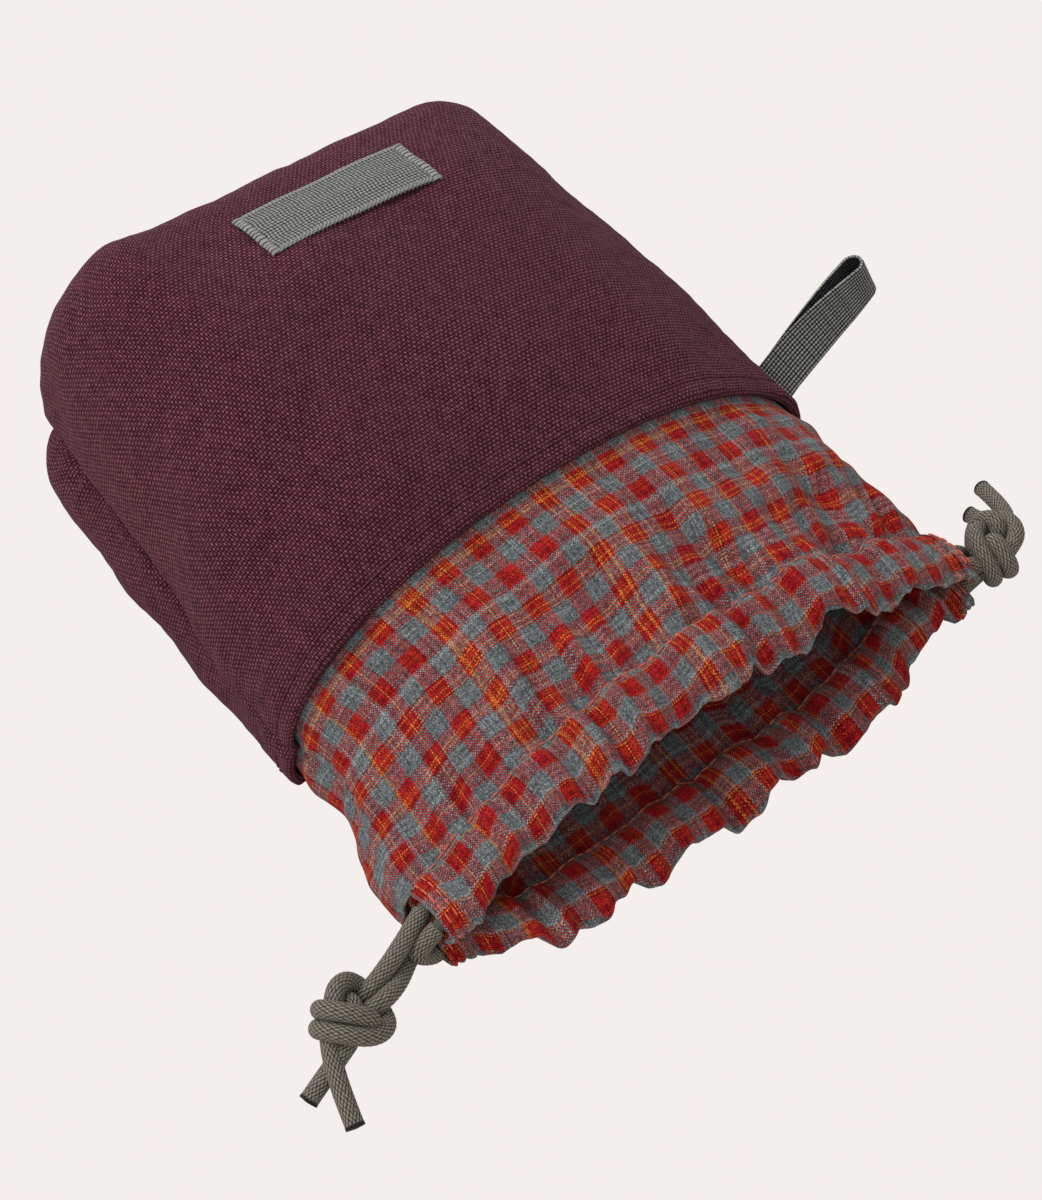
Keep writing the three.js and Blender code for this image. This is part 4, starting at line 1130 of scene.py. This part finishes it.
def stitchLine(name, path, normals, material, thick):
    length = stitchForm["length"]
    along = lengthsAlong(path)
    vertices, faces = [], []
    for start in np.arange(0.3, along[-1] - length, length + stitchForm["gap"]):
        first, last = pointsAt(start, along, path), pointsAt(start + length, along, path)
        normal = pointsAt(start + length / 2, along, normals)
        axis = last - first
        span = np.linalg.norm(axis)
        axis = axis / span
        normal = normal - (normal @ axis) * axis
        normal /= np.linalg.norm(normal)
        side = np.cross(axis, normal)
        middle = (first + last) / 2 + normal * (thick / 2 - stitchForm["sink"])
        bow = (0.25 - stitchCorners[:, 2] ** 2)[:, None] * normal * 0.5
        local = (stitchCorners[:, :1] * side * thick + stitchCorners[:, 1:2] * normal * thick
                 + stitchCorners[:, 2:] * axis * span + bow)
        count = len(vertices) * len(stitchCorners)
        faces += [tuple(index + count for index in face) for face in stitchFaces]
        vertices.append(middle + local)
    vertices = np.vstack(vertices)
    vertices[:, 2] = np.maximum(vertices[:, 2], 0.02)
    mesh = bpy.data.meshes.new(name)
    mesh.from_pydata((vertices * mm).tolist(), [], faces)
    piece = bpy.data.objects.new(name, mesh)
    bpy.context.scene.collection.objects.link(piece)
    deselectAll()
    bpy.context.view_layer.objects.active = piece
    piece.select_set(True)
    bpy.ops.object.mode_set(mode="EDIT")
    bpy.ops.mesh.select_all(action="SELECT")
    bpy.ops.mesh.normals_make_consistent(inside=False)
    bpy.ops.object.mode_set(mode="OBJECT")
    bpy.ops.object.shade_smooth()
    mesh.materials.append(material)
    return piece


# Straight up or straight down, for every point of a line
def upright(line, sign):
    return np.stack([0 * line[:, 0], 0 * line[:, 0], 0 * line[:, 0] + sign], -1)


def sewAlongHem(name, points, front):
    rows = canvasRows()
    target = bagForm["hemAt"] + canvasPanel["stitchFromEdge"]
    outer = [k for k, (y, inset, cap) in enumerate(rows) if inset == 0]
    row = min(outer, key=lambda k: abs(rows[k][0] - target))
    normal = facing(points)[row] * (1 if front else -1)
    piece = stitchLine(name, points[row, 2:-2], normal[2:-2], plumThread, stitchForm["thick"])
    finishPiece(piece, body="bag")


sewAlongHem("hemStitchFront", canvasFrontPoints, True)
sewAlongHem("hemStitchBack", canvasBackPoints, False)


# The coral line that closes the casing, in halves that meet at its middle. It lies a little
# outside the stitched edge, on the third of the casing's lines from there
def sewCasing(name, points, front):
    upper, lower = points[3], points[-4]
    middle = points.shape[1] // 2
    for face, isUpper in (("Outer", front), ("Inner", not front)):
        line = upper if isUpper else lower
        normal = upright(line, 1 if isUpper else -1)
        for side, part in ((-1, slice(0, middle + 1)), (1, slice(middle, None))):
            label = name + face + ("Left" if side < 0 else "Right")
            piece = stitchLine(label, line[part], normal[part], coralThread, stitchForm["thick"])
            finishPiece(piece, bend=gatherBend(side))


sewCasing("casingStitchFront", casingFrontPoints, True)
sewCasing("casingStitchBack", casingBackPoints, False)


# Two short coral lines across each casing end
def sewCasingEnd(name, front, side):
    half = casingForm["section"] // 2
    for k, x in enumerate(casingForm["endLines"]):
        x = np.array([x * side - 0.2, x * side + 0.2])
        points = casingSurface(front, x, casingForm["endExtra"])
        for face, isUpper in (("Outer", front), ("Inner", not front)):
            line = (points[:half + 1] if isUpper else points[half:])[3:-3].mean(axis=1)
            piece = stitchLine(f"{name}{face}{k + 1}", line, upright(line, 1 if isUpper else -1),
                               coralThread, stitchForm["endThick"])
            finishPiece(piece, body=mouthCorner(side))


for side, word in ((-1, "Left"), (1, "Right")):
    sewCasingEnd(f"endStitch{word}Front", True, side)
    sewCasingEnd(f"endStitch{word}Back", False, side)
print("seams stitched")

# Studio: soft, even light on a floor and backdrop that the camera sees as one flat pale colour.
# Lamps are (power, size, place)
studio = {"pale": "#f4efec", "world": 0.55,
          "lamps": {"key": (17, 0.9, (-0.7, 0.9, 1.5)), "fill": (5, 1.0, (-1.1, -0.7, 1.3)),
                    "rim": (5, 0.8, (0.6, 1.2, 0.7))}}


# What the camera sees directly is the pale colour; all other rays see the lighting
def paleToCamera(owner, lit, kind, output):
    toCamera = addNode(owner, "LightPath").outputs["Is Camera Ray"]
    plain = addNode(owner, kind, {0: linear(studio["pale"]), 1: 1.0})
    mixed = addNode(owner, "MixShader", {0: toCamera, 1: lit, 2: plain})
    owner.node_tree.links.new(mixed.outputs[0], owner.node_tree.nodes[output].inputs[0])


def makeStudio():
    deselectAll()
    bpy.ops.mesh.primitive_plane_add(size=6, location=(0, 0, -0.0004))
    floor = bpy.context.object
    floor.name = "studioFloor"
    material, shader = makePlain("paintedFloor", studio["pale"], 0.9)
    paleToCamera(material, shader, "Emission", "Material Output")
    floor.data.materials.append(material)
    world = bpy.context.scene.world or bpy.data.worlds.new("studio")
    bpy.context.scene.world = world
    world.use_nodes = True
    background = world.node_tree.nodes["Background"]
    background.inputs[0].default_value = linear(studio["pale"])
    background.inputs[1].default_value = studio["world"]
    paleToCamera(world, background, "Background", "World Output")
    for name, (power, size, place) in studio["lamps"].items():
        deselectAll()
        bpy.ops.object.light_add(type="AREA", location=place)
        lamp = bpy.context.object
        lamp.name = name
        lamp.data.size = size
        lamp.data.energy = power
        lamp.rotation_euler = (-Vector(place)).to_track_quat("-Z", "Y").to_euler()
    bpy.context.scene.view_settings.view_transform = "Standard"


makeStudio()
